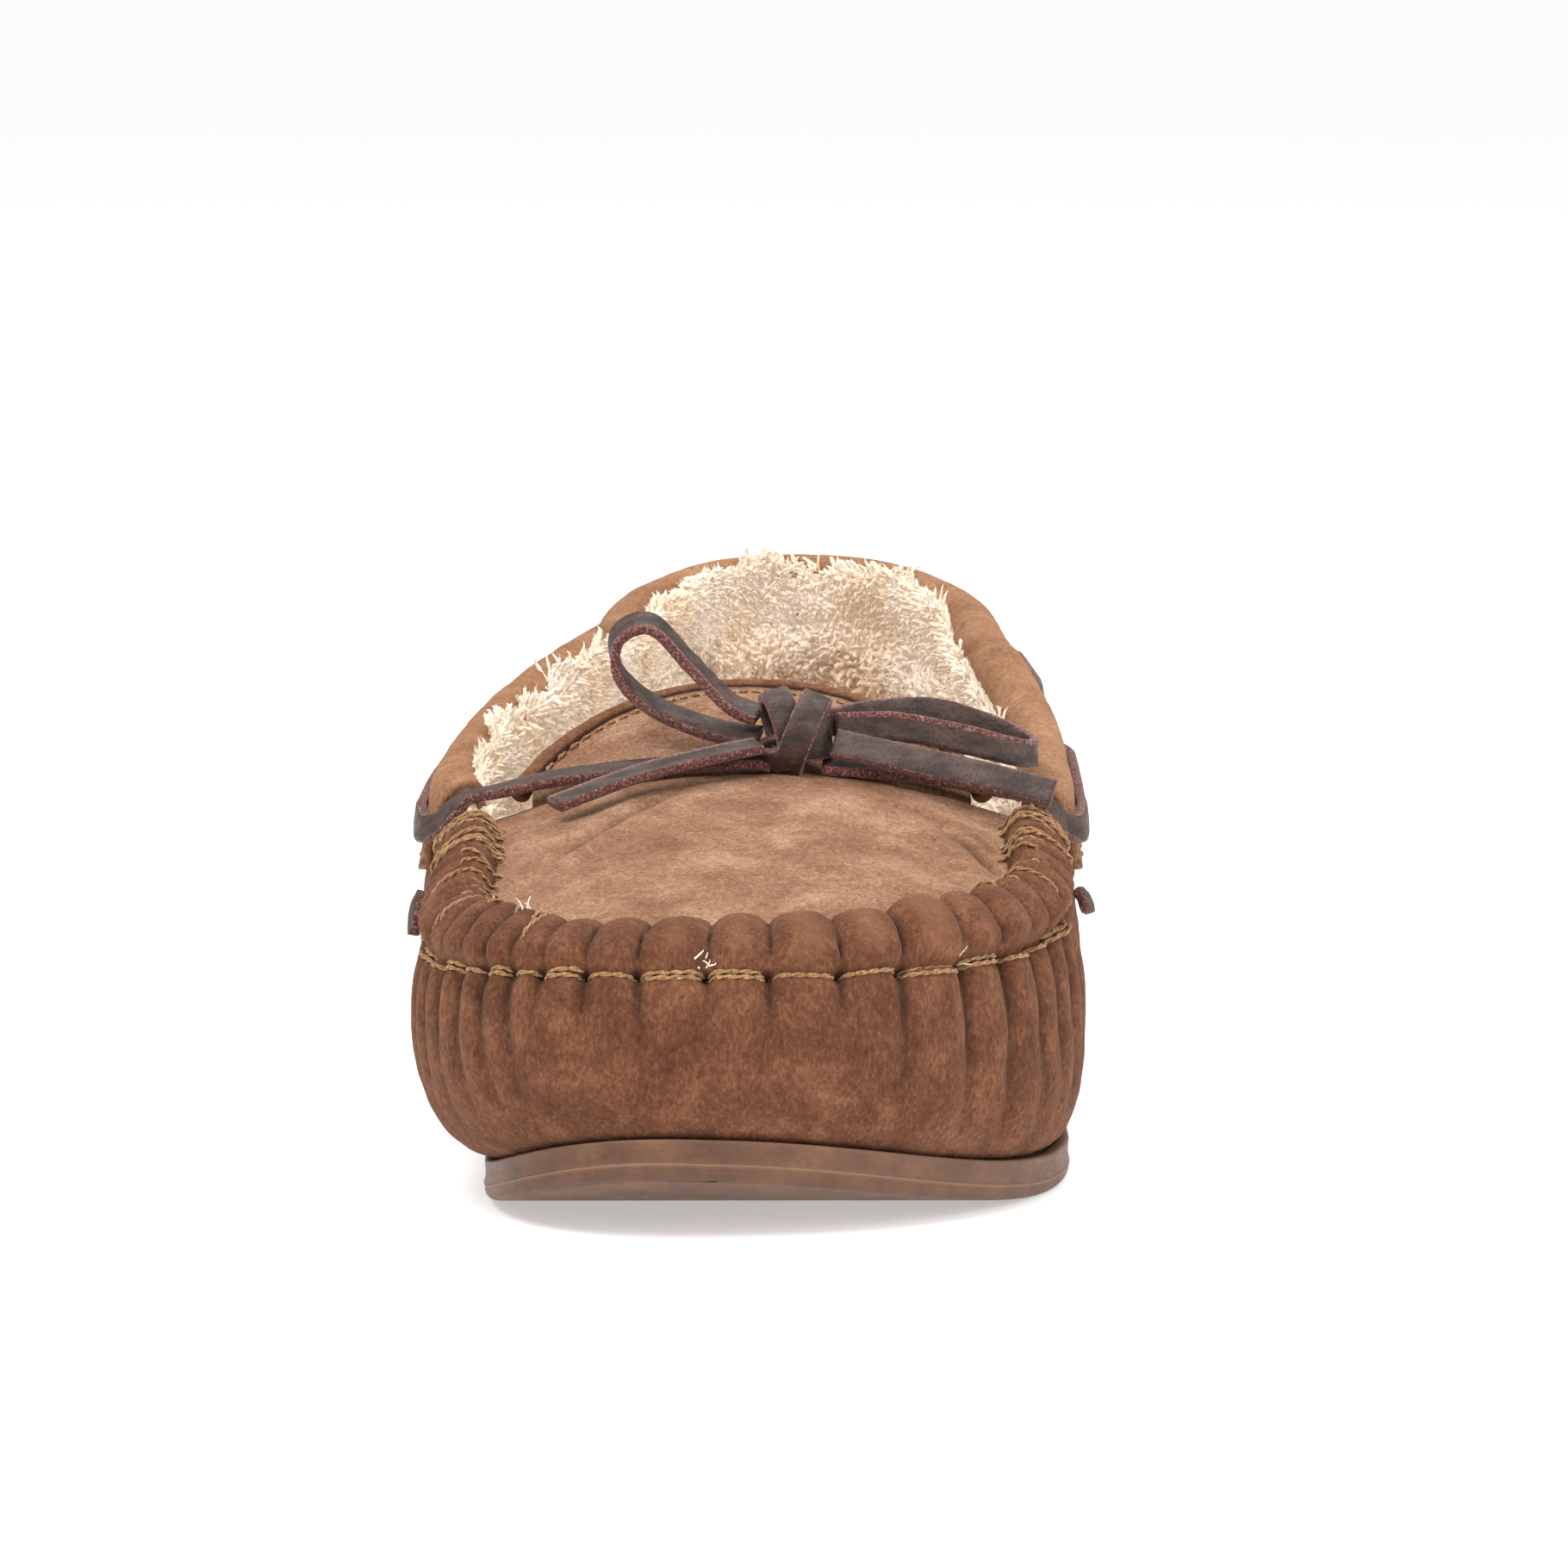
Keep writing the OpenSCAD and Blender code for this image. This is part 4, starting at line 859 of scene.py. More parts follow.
def wrap_relief(arc, t, places):
    """How far the wrap's surface stands off its smooth shape, and how much painted shade it takes where it
    lies in a crease.
    """
    line, wall = stitch_t(arc), SEAM_WALL
    above = np.clip((t - line) / (1 - line), 0, 1)
    below = np.maximum(0, (line - t) * wall)
    sides = smooth((np.abs(arc) - 18) / 14)
    wobble = 0.5 * ripple(places, 9, 31) * smooth(below / 10) + 0.35 * ripple(places, 5, 33) * (above > 0)
    swell = smooth(above / 0.22) * (1 - 0.7 * smooth((above - 0.72) / 0.28))
    pillow = gather(arc + wobble)
    high = mix(GATHER_TOE, GATHER_SIDE, sides)
    relief = seam_end(arc) * swell * (high * pillow + sides * 0.9)
    # Painted shade: dark in the creases between the gathers, along the top edge that goes under the cuff,
    # down the pleats and in the thread holes
    hollow = seam_end(arc) * swell * (1 - smooth(pillow / 0.7))
    hollow = np.maximum(hollow, seam_end(arc) * smooth((above - 0.84) / 0.14) * 0.55)
    ribs = seam_end(arc) * sides * (1 - smooth(below / PLEAT_LONG))
    relief = relief + ribs * 0.9 * pillow * (below > 0)
    for k, hole in enumerate(HOLES):
        near = np.abs(arc + wobble - hole)
        reach = PLEAT_LONG if abs(hole) > 22 else PLEAT_SHORT + 7 * math.sin(2.4 * k)
        fade = (1 - smooth(below / reach)) * (t <= line + 0.01)
        wide = 0.75 + 0.055 * below
        valley = np.exp(-((near / wide) ** 1.3)) * fade * seam_end(arc)
        relief = relief - valley * mix(1.0, 1.25, sides)
        hollow = np.maximum(hollow, valley * 0.85 * (1 - below / (reach * 1.3)))
        pit = np.exp(-((near / HOLE_R) ** 2)) * np.exp(-(((t - line) * wall / 1.25) ** 2)) * seam_end(arc)
        relief = relief - HOLE_DEPTH * pit
        hollow = np.maximum(hollow, pit)
    pinch = np.exp(-(((t - line) * wall / 0.8) ** 2)) * seam_end(arc)
    relief = relief - PINCH_DEPTH * pinch
    soft = 0.45 * lumps(places, 17, 3) + 0.16 * lumps(places, 4.5, 5, 2)
    return relief + soft * smooth(t / 0.12), hollow, swell * smooth((pillow - 0.75) / 0.4) * seam_end(arc)


WRAP_DROP = LACE_DEPTH + LACE_W / 2 + 2 * GAP


def wrap_top(g):
    """The wrap's top edge, which ends inside the cuff behind the throat."""
    return mix(1, t_below(g, WRAP_DROP), in_cuff(g))


def low_row(g, d, z):
    p = plan(inset(FEATHER, d), g)
    return lift(p, floor_z(p[1]) + z)


fine = np.arange(-100, 100.01, 0.5)
plain_medial = np.linspace(100, arc_table[-1], 130)[1:-1]
plain_lateral = np.linspace(arc_table[0], -100, 128)[:-1]
arcs = np.concatenate([plain_lateral, fine, plain_medial])
columns = g_at_arc(arcs)
rows = np.concatenate([np.linspace(0, 0.5, 36)[:-1], np.linspace(0.5, 1, 56)])
G, T = np.meshgrid(columns, rows)
T = T * wrap_top(G)
A = np.broadcast_to(arcs, G.shape)
relief, hollow, worn = wrap_relief(A, T, skin(G, T))
face = offset_at(G, T, relief)
tuck = low_row(columns, 0, LAYER_GAP)[None]
# Painted shade along the wrap's bottom edge, where it tucks under the sole's rim
sole_edge_shade = smooth((0.045 - T) / 0.045)
outer = np.concatenate([tuck, face])
back_rows = np.array([0.0, 0.2, 0.4, 0.6, 0.8, 0.93, 1.0])
GB, TB = np.meshgrid(columns, back_rows)
TB = TB * wrap_top(GB)
AB = np.broadcast_to(arcs, GB.shape)
inner = np.concatenate([
    low_row(columns, SUEDE_T, LAYER_GAP + SUEDE_T)[None],
    offset_at(GB, TB, wrap_relief(AB, TB, skin(GB, TB))[0] - SUEDE_T),
])
spare = np.zeros(inner[..., 0].size)
piece(
    "suede_wrap", "shoe", [wrap_suede], closed_sheet(outer, inner, ring=True), ["vamp_wrap"],
    {"hollow": np.concatenate([np.ones(len(columns)), np.maximum(hollow, sole_edge_shade * 0.8).ravel(), spare]),
     "worn": np.concatenate([np.zeros(len(columns)), worn.ravel(), spare])},
)

# ---------- helpers for sheets, thread and fleece ----------


def suede_sheet(name, body, finish, outer, inner, node, hollow):
    """A closed suede layer whose outer side takes painted shade in its hollows."""
    shade = np.concatenate([hollow.ravel(), np.zeros(inner[..., 0].size)])
    piece(name, body, [finish], closed_sheet(outer, inner), [node], {"hollow": shade})


def sewn(name, body, stitches, node):
    piece(name, body, [thread], joined(stitches), [node])


# deep: how far each point takes the root tone, partly the wool's yellower roots and partly painted shade for
# wool lying deep inside the shoe
def fleece(name, body, front, back, node, deep):
    piece(name, body, [shearling], closed_sheet(front, back), [node], {"deep": deep})


# ---------- the plug ----------

PLUG_EDGE = inset(TOP, -0.9)
# Creases where the forefoot bends, as the ends of each fold in x and s, its depth and its width
BENDS = [
    ((-31, 56), (-8, 90), 1.1, 1.5), ((-26, 52), (-17, 66), 0.5, 1.6), ((26, 80), (38, 56), 1.2, 1.6),
    ((31, 78), (37, 66), 0.8, 1.2), ((19, 84), (31, 74), 0.5, 1.6),
]


def centre_z(s):
    run = np.maximum(0, (s - SEAM_FRONT) / (PLUG_BACK - SEAM_FRONT))
    return mix(SEAM_FRONT_Z, PLUG_BACK_Z, run**0.8)


def plug_point(q, u, d, o=PLUG_EDGE):
    m, l = outline(o, q, -1.0), outline(o, q, 1.0)
    x, s = (mix(m[i], l[i], (u + 1) / 2) for i in (0, 1))
    low = seam_z(s)
    return lift((x, s), low - 0.4 + (centre_z(s) - low) * crown(u) + d)


def plug_relief(p, q, u):
    s = from_toe(p)
    wide = np.maximum(1, SEAM_HALF_W * np.minimum(1, q) ** 0.8)
    from_edge = (1 - np.abs(u)) * wide + 1e-6
    front = np.maximum(0, s - SEAM_FRONT) * 0.9
    from_edge = np.minimum(from_edge, front + 0.2)
    arc = arc_of(-np.sign(u + 1e-9) * q)
    pull = np.exp(-from_edge / 4.5)
    relief = -1.0 * (1 - np.minimum(1, gather(arc))) * pull * seam_end(arc)
    # Painted shade along the plug's edge at the gathered seam and in the creases where the forefoot bends
    hollow = smooth((1.6 - from_edge) / 1.6) * 0.75
    for (x0, s0), (x1, s1), deep, wide_mm in BENDS:
        a, b = np.array([x0, s0]), np.array([x1, s1])
        length = np.linalg.norm(b - a)
        way = (b - a) / length
        px, ps = p[..., 0] - a[0], s - a[1]
        run = (px * way[0] + ps * way[1]) / length
        bow = 1.6 * np.sin(np.pi * np.clip(run, 0, 1))
        off = px * way[1] - ps * way[0] + bow
        ends = smooth(run / 0.25) * smooth((1 - run) / 0.3)
        valley = np.exp(-np.abs(off / wide_mm) ** 1.6) * ends
        roll = np.exp(-(((np.abs(off) - 3.4) / 2.2) ** 2)) * ends
        relief = relief - deep * valley + 0.45 * deep * roll
        hollow = np.maximum(hollow, valley * 0.55 * deep)
    return relief + 0.5 * lumps(p, 21, 41) + 0.12 * lumps(p, 5, 43, 2), hollow


q = np.concatenate([np.linspace(0.05, 1, 120), np.linspace(1, g_of_s(PLUG_BACK), 36)[1:]])
u = edge_to_edge(150)
U, Q = np.meshgrid(u, q)
p = plug_point(Q, U, 0)
relief, hollow = plug_relief(p, Q, U)
outer = p + relief[..., None] * UP
inner = plug_point(*np.meshgrid(q[::5], u, indexing="ij"), -SUEDE_T - 0.2)
suede_sheet("suede_plug", "shoe", plug_suede, outer, inner, "plug", hollow)

# ---------- the tongue, its rolled binding and its stitches ----------

TONGUE_X = float(middle(ROOT_S))
TONGUE_RISE = (TONGUE_TIP_Z - PLUG_BACK_Z) / TONGUE_LEN


def tongue_point(v, u, d, half=TONGUE_HALF_W, trim=0.0):
    run = mix(TONGUE_EDGE, TONGUE_LEN, crown(u) ** 0.7) - BINDING_D / 2 - trim
    s = ROOT_S + ROOT_SWEEP * u * u + v * (run - ROOT_SWEEP * u * u)
    low = seam_z(PLUG_BACK)
    z = low + (PLUG_BACK_Z - low) * crown(TONGUE_HALF_W / SEAM_HALF_W * u) - 0.4
    return lift((TONGUE_X + u * half, s), z + TONGUE_RISE * (s - ROOT_S) + d)


u = edge_to_edge(150)
V, U = np.meshgrid(np.linspace(0, 1, 56), u, indexing="ij")
p = tongue_point(V, U, 0)
outer = p + (0.3 * lumps(p, 15, 51) + 0.1 * lumps(p, 4, 52, 2))[..., None] * UP
VI, UI = np.meshgrid(np.linspace(0, 1, 8), u, indexing="ij")
inner = tongue_point(VI, UI, -SUEDE_T)
# Painted shade on the tongue just under its rolled binding
hollow = smooth((V - 0.93) / 0.07) * 0.6
suede_sheet("suede_tongue", "tongue", plug_suede, outer, inner, "tongue", hollow)

u = np.sin(np.linspace(-math.pi / 2, math.pi / 2, 260)) * 0.5 + np.linspace(-1, 1, 260) * 0.5
edge = tongue_point(1.0, u, -SUEDE_T / 2)
along = tangents(edge)
out = unit(np.cross([0, 0, 1], along))
centre = edge + out * (BINDING_D / 2 + 0.25)
up = np.cross(along, out)
a = circle(22)
thick = BINDING_D / 2 * (1 + 0.07 * ripple(centre, 6, 61))
ring = spokes(a, out, up)
rings = centre[:, None] + ring * thick[:, None, None]
rings = rings + 0.09 * lumps(rings, 2.5, 62, 2)[..., None] * ring
points, faces = swept(rings)
# Painted shade on the side of the roll that meets the tongue
seam_side_shade = smooth((-np.cos(a) - 0.55) / 0.4)
piece(
    "tongue_rolled_binding", "tongue", [binding_suede], (points, faces), ["tongue_binding"],
    {"hollow": np.tile(seam_side_shade * 0.9, len(centre))},
)

# ---------- thread ----------


# How far a thread's middle stands over the suede
THREAD_UP = 0.22


def twisted(path, thick=0.72, pitch=4.2, phase=0.0, sides=6):
    """A thread of two strands twisted round each other, along a path."""
    seg = np.linalg.norm(np.diff(path, axis=0), axis=1)
    run = np.concatenate([[0], np.cumsum(seg)])
    n = max(8, int(run[-1] / 0.35))
    at = np.linspace(0, run[-1], n)
    line = np.stack([np.interp(at, run, path[:, i]) for i in range(3)], -1)
    along = tangents(line)
    side = unit(np.cross(along, [0.13, 0.31, 0.94]))
    up = np.cross(side, along)
    parts = []
    for strand in (0, math.pi):
        turn = 2 * math.pi * at / pitch + strand + phase
        fat = thick * 0.22
        core = line + fat * (np.cos(turn)[:, None] * side + np.sin(turn)[:, None] * up)
        ends = np.sqrt(np.clip(np.minimum(at, run[-1] - at) / 0.5 + 0.15, 0, 1))
        ring = spokes(circle(sides), side, up)
        parts.append(swept(core[:, None] + ring * (fat * 1.3 * ends)[:, None, None]))
    return joined(parts)


def on_wrap(arc, t, up):
    g = g_at_arc(arc)
    relief = wrap_relief(arc, t, skin(g, t))[0]
    return offset_at(g, t, relief + up)


rng = np.random.default_rng(7)
stitches = []
for left, right in zip(HOLES[:-1], HOLES[1:]):
    if abs(left) > 90 or abs(right) > 90:
        continue
    arc = np.linspace(left + 0.25, right - 0.25, 16)
    x = np.linspace(-1, 1, 16)
    line = stitch_t(arc) + rng.uniform(-0.008, 0.008) + x * rng.uniform(-0.008, 0.008)
    dive = -0.9 * np.abs(x) ** 8
    for row in ([0.0] if rng.random() < 0.4 else [0.009, -0.009]):
        stitches.append(twisted(on_wrap(arc, line + row, THREAD_UP + dive), 0.78, phase=rng.uniform(0, 6)))
sewn("seam_thread", "shoe", stitches, "seam_stitches")


def whip(arc, spread, side_t, seed):
    """A whipped loop from the outer seam line over the gathered ridge to the plug's edge."""
    wander = np.random.default_rng(seed)
    t = np.concatenate([np.linspace(side_t, 1, 12), [1, 1]])
    a = arc + spread * np.linspace(0, 1, 14) + 0.4 * wander.standard_normal()
    path = on_wrap(a, np.minimum(t, 0.995), THREAD_UP)
    inward = np.sign(path[-1][0] - middle(60)) * -1
    path[-2] += [inward * 1.0, 0, -0.5]
    path[-1] += [inward * 2.2, 0, -1.9]
    path[0] += (path[1] - path[0]) * -0.6 - normal_at(g_at_arc(a[0]), t[0]) * 0.8
    return twisted(spline(path, 3), 0.72, pitch=3.6, phase=wander.uniform(0, 6))


loops = {MEDIAL: [], LATERAL: []}
for side in (MEDIAL, LATERAL):
    for k, arc in enumerate([24, 29, 34, 39.5, 45, 51, 57, 63, 69, 74, 79, 84, 87, 90, 93, 96]):
        if side == LATERAL and arc < 44:
            continue
        start = 0.74 if arc > 72 or k % 3 == 0 else 0.88
        for repeat in range(2 if arc > 76 or k % 3 == 0 else 1):
            spread = 3.0 * math.sin(k * 2.1 + repeat)
            loops[side].append(whip(-side * arc, spread, start + 0.03 * repeat, 10 * k + repeat + (side + 1)))
for side, word in SIDES:
    sewn("whipped_corner_" + word, "shoe", loops[side], "corner_stitches_" + word)

short = []
for k in range(-34, 34, 2):
    u = np.linspace(k / 36, (k + 1.35) / 36, 6)
    dive = -0.5 * np.abs(np.linspace(-1, 1, 6)) ** 4
    short.append(twisted(tongue_point(0.93, u, 0) + UP * (0.3 + dive)[:, None], 0.62, 2.8))
sewn("tongue_thread", "tongue", short, "tongue_stitches")

# ---------- the collar's folded cuff ----------


def up_at(g):
    return unit(skin(g, 1) - skin(g, 0.98))


def cuff_grid(g, out, into, r, down, turn, inside, worked):
    """The cuff's section, from its outer edge over the fold to its inner edge, round the collar."""
    rows = [offset_at(g, t_below(g, CUFF_OUTER * d), out) for d in down]
    n, up, edge = normal_at(g, np.ones_like(g)), up_at(g), skin(g, 1)
    for angle in turn:
        reach = n * ((GAP - CUFF_W) / 2 + r * math.cos(angle)) + up * r * math.sin(angle)
        rows.append(edge + reach)
    rows += [offset_at(g, t_below(g, CUFF_INNER * d), into) for d in inside]
    p = np.array(rows)
    if worked:
        away = unit(np.cross(np.gradient(p, axis=0), np.gradient(p, axis=1)))
        away = away * np.sign(np.sum(away * (p - np.array([3, 0, 40.0])), -1, keepdims=True))
        p = p + (0.28 * lumps(p, 13, 71) + 0.1 * lumps(p, 3.5, 72, 2))[..., None] * away
    return p


# How far in from the cuff's lower edge it is sewn, and a depth that is nowhere on its outer face
CUFF_STITCH_IN, OFF_FACE = 1.8, -9.0


def cuff(name, side, node):
    g = np.linspace(G_CUFF, BACK_SEAM, 330) * -side
    down, inside = np.linspace(1, 0.1, 22), np.linspace(0.12, 1, 14)
    turn = np.radians(np.linspace(0, 180, 25))
    outer = cuff_grid(g, GAP + CUFF_T, -CUFF_W - CUFF_T, FOLD_R + CUFF_T / 2, down, turn, inside, worked=True)
    inner = cuff_grid(g, GAP, -CUFF_W, FOLD_R - CUFF_T / 2, down[::3], turn[::3], inside[::3], worked=False)
    s = np.broadcast_to(plan(TOP, g)[1], outer.shape[:2])
    # Painted shade: dark where the lace goes into its slits, along the thread's line and along the cuff's
    # lower edge
    hollow = np.zeros(outer.shape[:2])
    depth = np.concatenate([CUFF_OUTER * down, np.full(len(turn) + len(inside), OFF_FACE)])
    for window in WINDOWS:
        for slit in window:
            beside_lace = (np.abs(depth - LACE_DEPTH) < LACE_W / 2 + 0.9)[:, None]
            near = np.exp(-(((s - slit) / 0.7) ** 2)) * beside_lace
            hollow = np.maximum(hollow, near)
    outer = outer - (1.0 * hollow)[..., None] * normal_at(g, np.full_like(g, 0.95))[None]
    thread_line = np.exp(-(((depth - CUFF_OUTER + CUFF_STITCH_IN) / 0.6) ** 2))[:, None] * 0.5
    hollow = np.maximum(hollow, thread_line)
    hollow[:2] = 0.6
    if side == MEDIAL:
        outer, inner, hollow = outer[:, ::-1], inner[:, ::-1], hollow[:, ::-1]
    suede_sheet(name, "shoe", cuff_suede, outer, inner, node, hollow)


for side, word in SIDES:
    cuff("suede_cuff_" + word, side, "collar_cuff_" + word)


def running_stitches(starts, ends, out, place):
    """Short straight stitches, each from a start to an end along a line on the upper."""
    made = []
    for a, b in zip(starts, ends):
        x = np.linspace(-1, 1, 6)
        g, t = place(np.linspace(a, b, 6))
        made.append(twisted(offset_at(g, t, out - 0.45 * np.abs(x) ** 4), 0.8, 2.2, sides=5))
    return made


for side, word in SIDES:
    first = np.arange(G_CUFF + 0.07, 2.8, 0.036)
    row = running_stitches(
        first, first + 0.023, GAP + CUFF_T + 0.4,
        lambda g: (-side * g, t_below(-side * g, CUFF_OUTER - CUFF_STITCH_IN)),
    )
    sewn("cuff_thread_" + word, "shoe", row, "cuff_stitches_" + word)

BACKSTAY_HALF = 0.2
g = np.linspace(3 - BACKSTAY_HALF, 3 + BACKSTAY_HALF, 60)
g, t = np.meshgrid(g, np.linspace(0.06, t_below(3.0, CUFF_OUTER + 0.6), 90))
p = offset_at(g, t, 2 * GAP + CUFF_T)
outer = offset_at(g, t, 2 * GAP + CUFF_T + 0.2 * lumps(p, 9, 81))
# Painted shade along the backstay's two side edges
backstay_edge_shade = smooth((np.abs(g - 3) - BACKSTAY_HALF + 0.02) / 0.02)
inner = offset_at(g[::8], t[::8], 2 * GAP)
suede_sheet("suede_backstay", "shoe", wrap_suede, outer, inner, "backstay", backstay_edge_shade * 0.7)
rows = []
for side in (-1, 1):
    first = 0.1 + np.arange(9) * 0.065
    rows += running_stitches(
        first, first + 0.045, GAP + CUFF_T + 0.5,
        lambda t: (np.full_like(t, 3 + side * BACKSTAY_HALF * 0.78), t),
    )
sewn("backstay_thread", "shoe", rows, "backstay_stitches")

# ---------- the shearling lining ----------

COUNTER_ROOM = 1 + LINING_GAP / 2
FLEECE_IN = WALL_OUT + SHEARLING_T
LACE_ROOM = LACE_T + 5 * GAP
BED_GAP = 0.7


def in_heel(g):
    return smooth((np.abs(g) - 2) / 0.12)


def board_low(s):
    return floor_z(s) + 2 * LAYER_GAP + SUEDE_T


def foam_low(s):
    return board_low(s) + BOARD_T + LAYER_GAP


def bed_low(s):
    return foam_low(s) + FOAM_T + LAYER_GAP


def bed_high(s):
    return bed_low(s) + FOOTBED_T


def foot_row(g, d):
    p = plan([v + (d if i == 0 else -d if i < 5 else 0) for i, v in enumerate(FEATHER)], g)
    return lift(p, board_low(p[1]) + BOARD_T + LAYER_GAP)


def wool_depth(g, t):
    """How far inside the upper the fleece's face lies."""
    squeezed = in_cuff(g) * smooth((t - t_below(g, CUFF_INNER + 6)) / 0.1)
    return mix(FLEECE_IN + COUNTER_ROOM * in_heel(g), CUFF_W - LINING_GAP, squeezed)


def fleece_face(g, t):
    return offset_at(g, t, -wool_depth(g, t))


def shade_at(g, t):
    """How much yellower root tone and painted shade the wool takes, most of all low in the heel."""
    return smooth((0.92 - t) / 0.22) * mix(0.35, 1.0, smooth((np.abs(g) - 2.25) / 0.35))


def seam_dent(g):
    return np.exp(-(((3 - np.abs(g)) / 0.05) ** 2))


def top_of_fleece(g):
    return mix(0.985, t_below(g, 0.4), in_cuff(g))


def wall_fleece(side, name, node):
    toe, sides = np.linspace(0.004, 1.0, 70)[:-1], np.linspace(1.0, 2.0, 150)[:-1]
    g = -side * np.concatenate([toe, sides, np.linspace(2.0, BACK_SEAM, 130)])
    rows = np.linspace(0.05, 1, 70)
    G, T = np.meshgrid(g, rows)
    T = T * top_of_fleece(G)
    p = fleece_face(G, T)
    heap = 0.75 * np.abs(lumps(p, 5.5, 91)) + 0.4 * lumps(p, 2.2, 92) - 1.5 * seam_dent(G)
    face = offset_at(G, T, -wool_depth(G, T) - heap)
    foot = foot_row(g, FLEECE_IN + COUNTER_ROOM * in_heel(g))[None]
    front = np.concatenate([foot, face])
    GB, TB = np.meshgrid(g, np.array([0.06, 0.24, 0.5, 0.7, 0.86, 0.94, 1.0]))
    TB = TB * top_of_fleece(GB)
    behind = mix(WALL_OUT + COUNTER_ROOM * in_heel(GB), LACE_ROOM, in_cuff(GB) * smooth((TB - 0.88) / 0.04))
    back = np.concatenate([
        foot_row(g, WALL_OUT + COUNTER_ROOM * in_heel(g))[None], offset_at(GB, TB, -behind),
    ])
    # Painted shade and yellower roots low in the heel, with more painted shade in the back seam's dent
    depth = np.minimum(0.75, shade_at(G, T) + 0.25 * seam_dent(G))
    if side == LATERAL:
        front, back, depth = front[:, ::-1], back[:, ::-1], depth[:, ::-1]
    deep = np.concatenate([np.ones(len(g)), depth.ravel(), np.ones(back[..., 0].size)])
    fleece(name, "shoe", front, back, node, deep)


for side, word in SIDES:
    wall_fleece(side, "wall_fleece_" + word, "wall_lining_" + word)


def locks(roots, ways, lengths, widths, seed, deep):
    """Small curled locks of wool, each a tapered three-sided strand, as one mesh and its shade, darker at the
    root: partly yellower root wool, partly painted shade.
    """
    wander = np.random.default_rng(seed)
    n = len(roots)
    side = unit(np.cross(ways, wander.standard_normal((n, 3))))
    other = np.cross(ways, side)
    curl = wander.uniform(0.25, 0.75, n)[:, None]
    levels = [(-0.15, 0.8), (0.3, 1.0), (0.62, 0.84), (0.88, 0.52)]
    rings, shades = [], []
    for reach, fat in levels:
        out = max(0, reach)
        centre = roots + (ways * reach + side * (curl * out**2)) * lengths[:, None]
        for k in range(3):
            a = 2 * math.pi * k / 3 + 1.9 * out
            rings.append(centre + (side * math.cos(a) + other * math.sin(a)) * (widths * fat)[:, None])
            # Darker towards the root: partly the wool's yellower roots, partly painted shade
            shades.append(deep * (1 - 0.6 * out))
    rings.append(roots + (ways * 0.95 + side * curl * 1.1 + other * 0.15) * lengths[:, None])
    shades.append(deep * 0.3)
    points = np.stack(rings, 1).reshape(-1, 3)
    start = np.arange(n)[:, None, None] * len(rings)
    base = [[2, 1, 0]]
    quads = []
    for level in range(3):
        for k in range(3):
            a, b = level * 3 + k, level * 3 + (k + 1) % 3
            quads.append([a, b, b + 3, a + 3])
    tips = [[9 + k, 9 + (k + 1) % 3, 12] for k in range(3)]
    faces = []
    for kind in (base, quads, tips):
        faces += (start + np.array(kind)).reshape(-1, len(kind[0])).tolist()
    return (points, faces), np.stack(shades, 1).ravel()


# deep: how far each lock takes the root tone, partly the wool's yellower roots and partly painted shade for
# wool lying deep inside the shoe
def wool_locks(name, body, roots, ways, lengths, widths, seed, deep):
    shape, shade = locks(roots, ways, lengths, widths, seed, deep)
    return piece(name, body, [shearling], shape, [], {"deep": shade}, turn=False)


def swirl(p, seed, strength):
    """A direction that neighbouring locks share, so that the wool lies in tufts."""
    return strength * np.stack([ripple(p, 6.5, seed), ripple(p, 6.5, seed + 1), ripple(p, 6.5, seed + 2)], -1)


def wall_locks(side, name, seed, count, g_from, band, long, wide):
    """Locks over a band of the wall, leaning up towards the collar and inwards."""
    wander = np.random.default_rng(seed)
    g = -side * wander.uniform(g_from, BACK_WOOL, count)
    t = wander.uniform(*band, count) * top_of_fleece(g)
    roots = fleece_face(g, t) + 0.3 * normal_at(g, t)
    ways = -0.4 * normal_at(g, np.minimum(t, 0.97)) + 0.35 * up_at(g) + swirl(roots, seed, 1.3)
    ways = unit(ways + 0.22 * wander.standard_normal((count, 3)))
    lengths = wander.uniform(0.6, 1.15, count) * long * (1 - 0.5 * seam_dent(g))
    widths = wander.uniform(0.7, 1.25, count) * wide
    depth = np.clip(shade_at(g, t) + 0.12 * wander.standard_normal(count), 0, 1)
    return wool_locks(name, "shoe", roots, ways, lengths, widths, seed + 1, depth)


def collar_locks(side, name, seed, count):
    """Locks that spill from the inside over the cuff's inner band, with an uneven edge."""
    wander = np.random.default_rng(seed)
    g = -side * wander.uniform(G_CUFF - 0.03, BACK_WOOL, count)
    down = wander.uniform(-5.6, 9, count)
    t = t_below(g, np.maximum(down, 0))
    roots = offset_at(g, t, -CUFF_W - CUFF_T + 0.2)
    turn = math.pi + np.minimum(down, 0) / FOLD_R
    n, r = normal_at(g, t), FOLD_R + CUFF_T / 2 - 0.4
    over = skin(g, 1) + n * ((GAP - CUFF_W) / 2 + r * np.cos(turn))[:, None]
    over = over + up_at(g) * (r * np.sin(turn))[:, None]
    roots = np.where((down < 0)[:, None], over, roots)
    forward = smooth((2.6 - np.abs(g)) / 0.9)
    line = mix(-4.0, -3.2 if side == MEDIAL else 1.2, forward) + 1.7 * ripple(roots, 8, seed + 5)
    keep = down > line
    g, t, roots, n = g[keep], t[keep], roots[keep], n[keep]
    ways = -0.45 * n + 0.4 * up_at(g) + swirl(roots, seed, 0.8)
    ways = unit(ways + 0.2 * wander.standard_normal((len(g), 3)))
    lengths = wander.uniform(2.0, 3.8, len(g)) * (1 - 0.4 * seam_dent(g))
    widths = wander.uniform(0.4, 0.8, len(g))
    return wool_locks(name, "shoe", roots, ways, lengths, widths, seed + 1, np.full(len(g), 0.1))


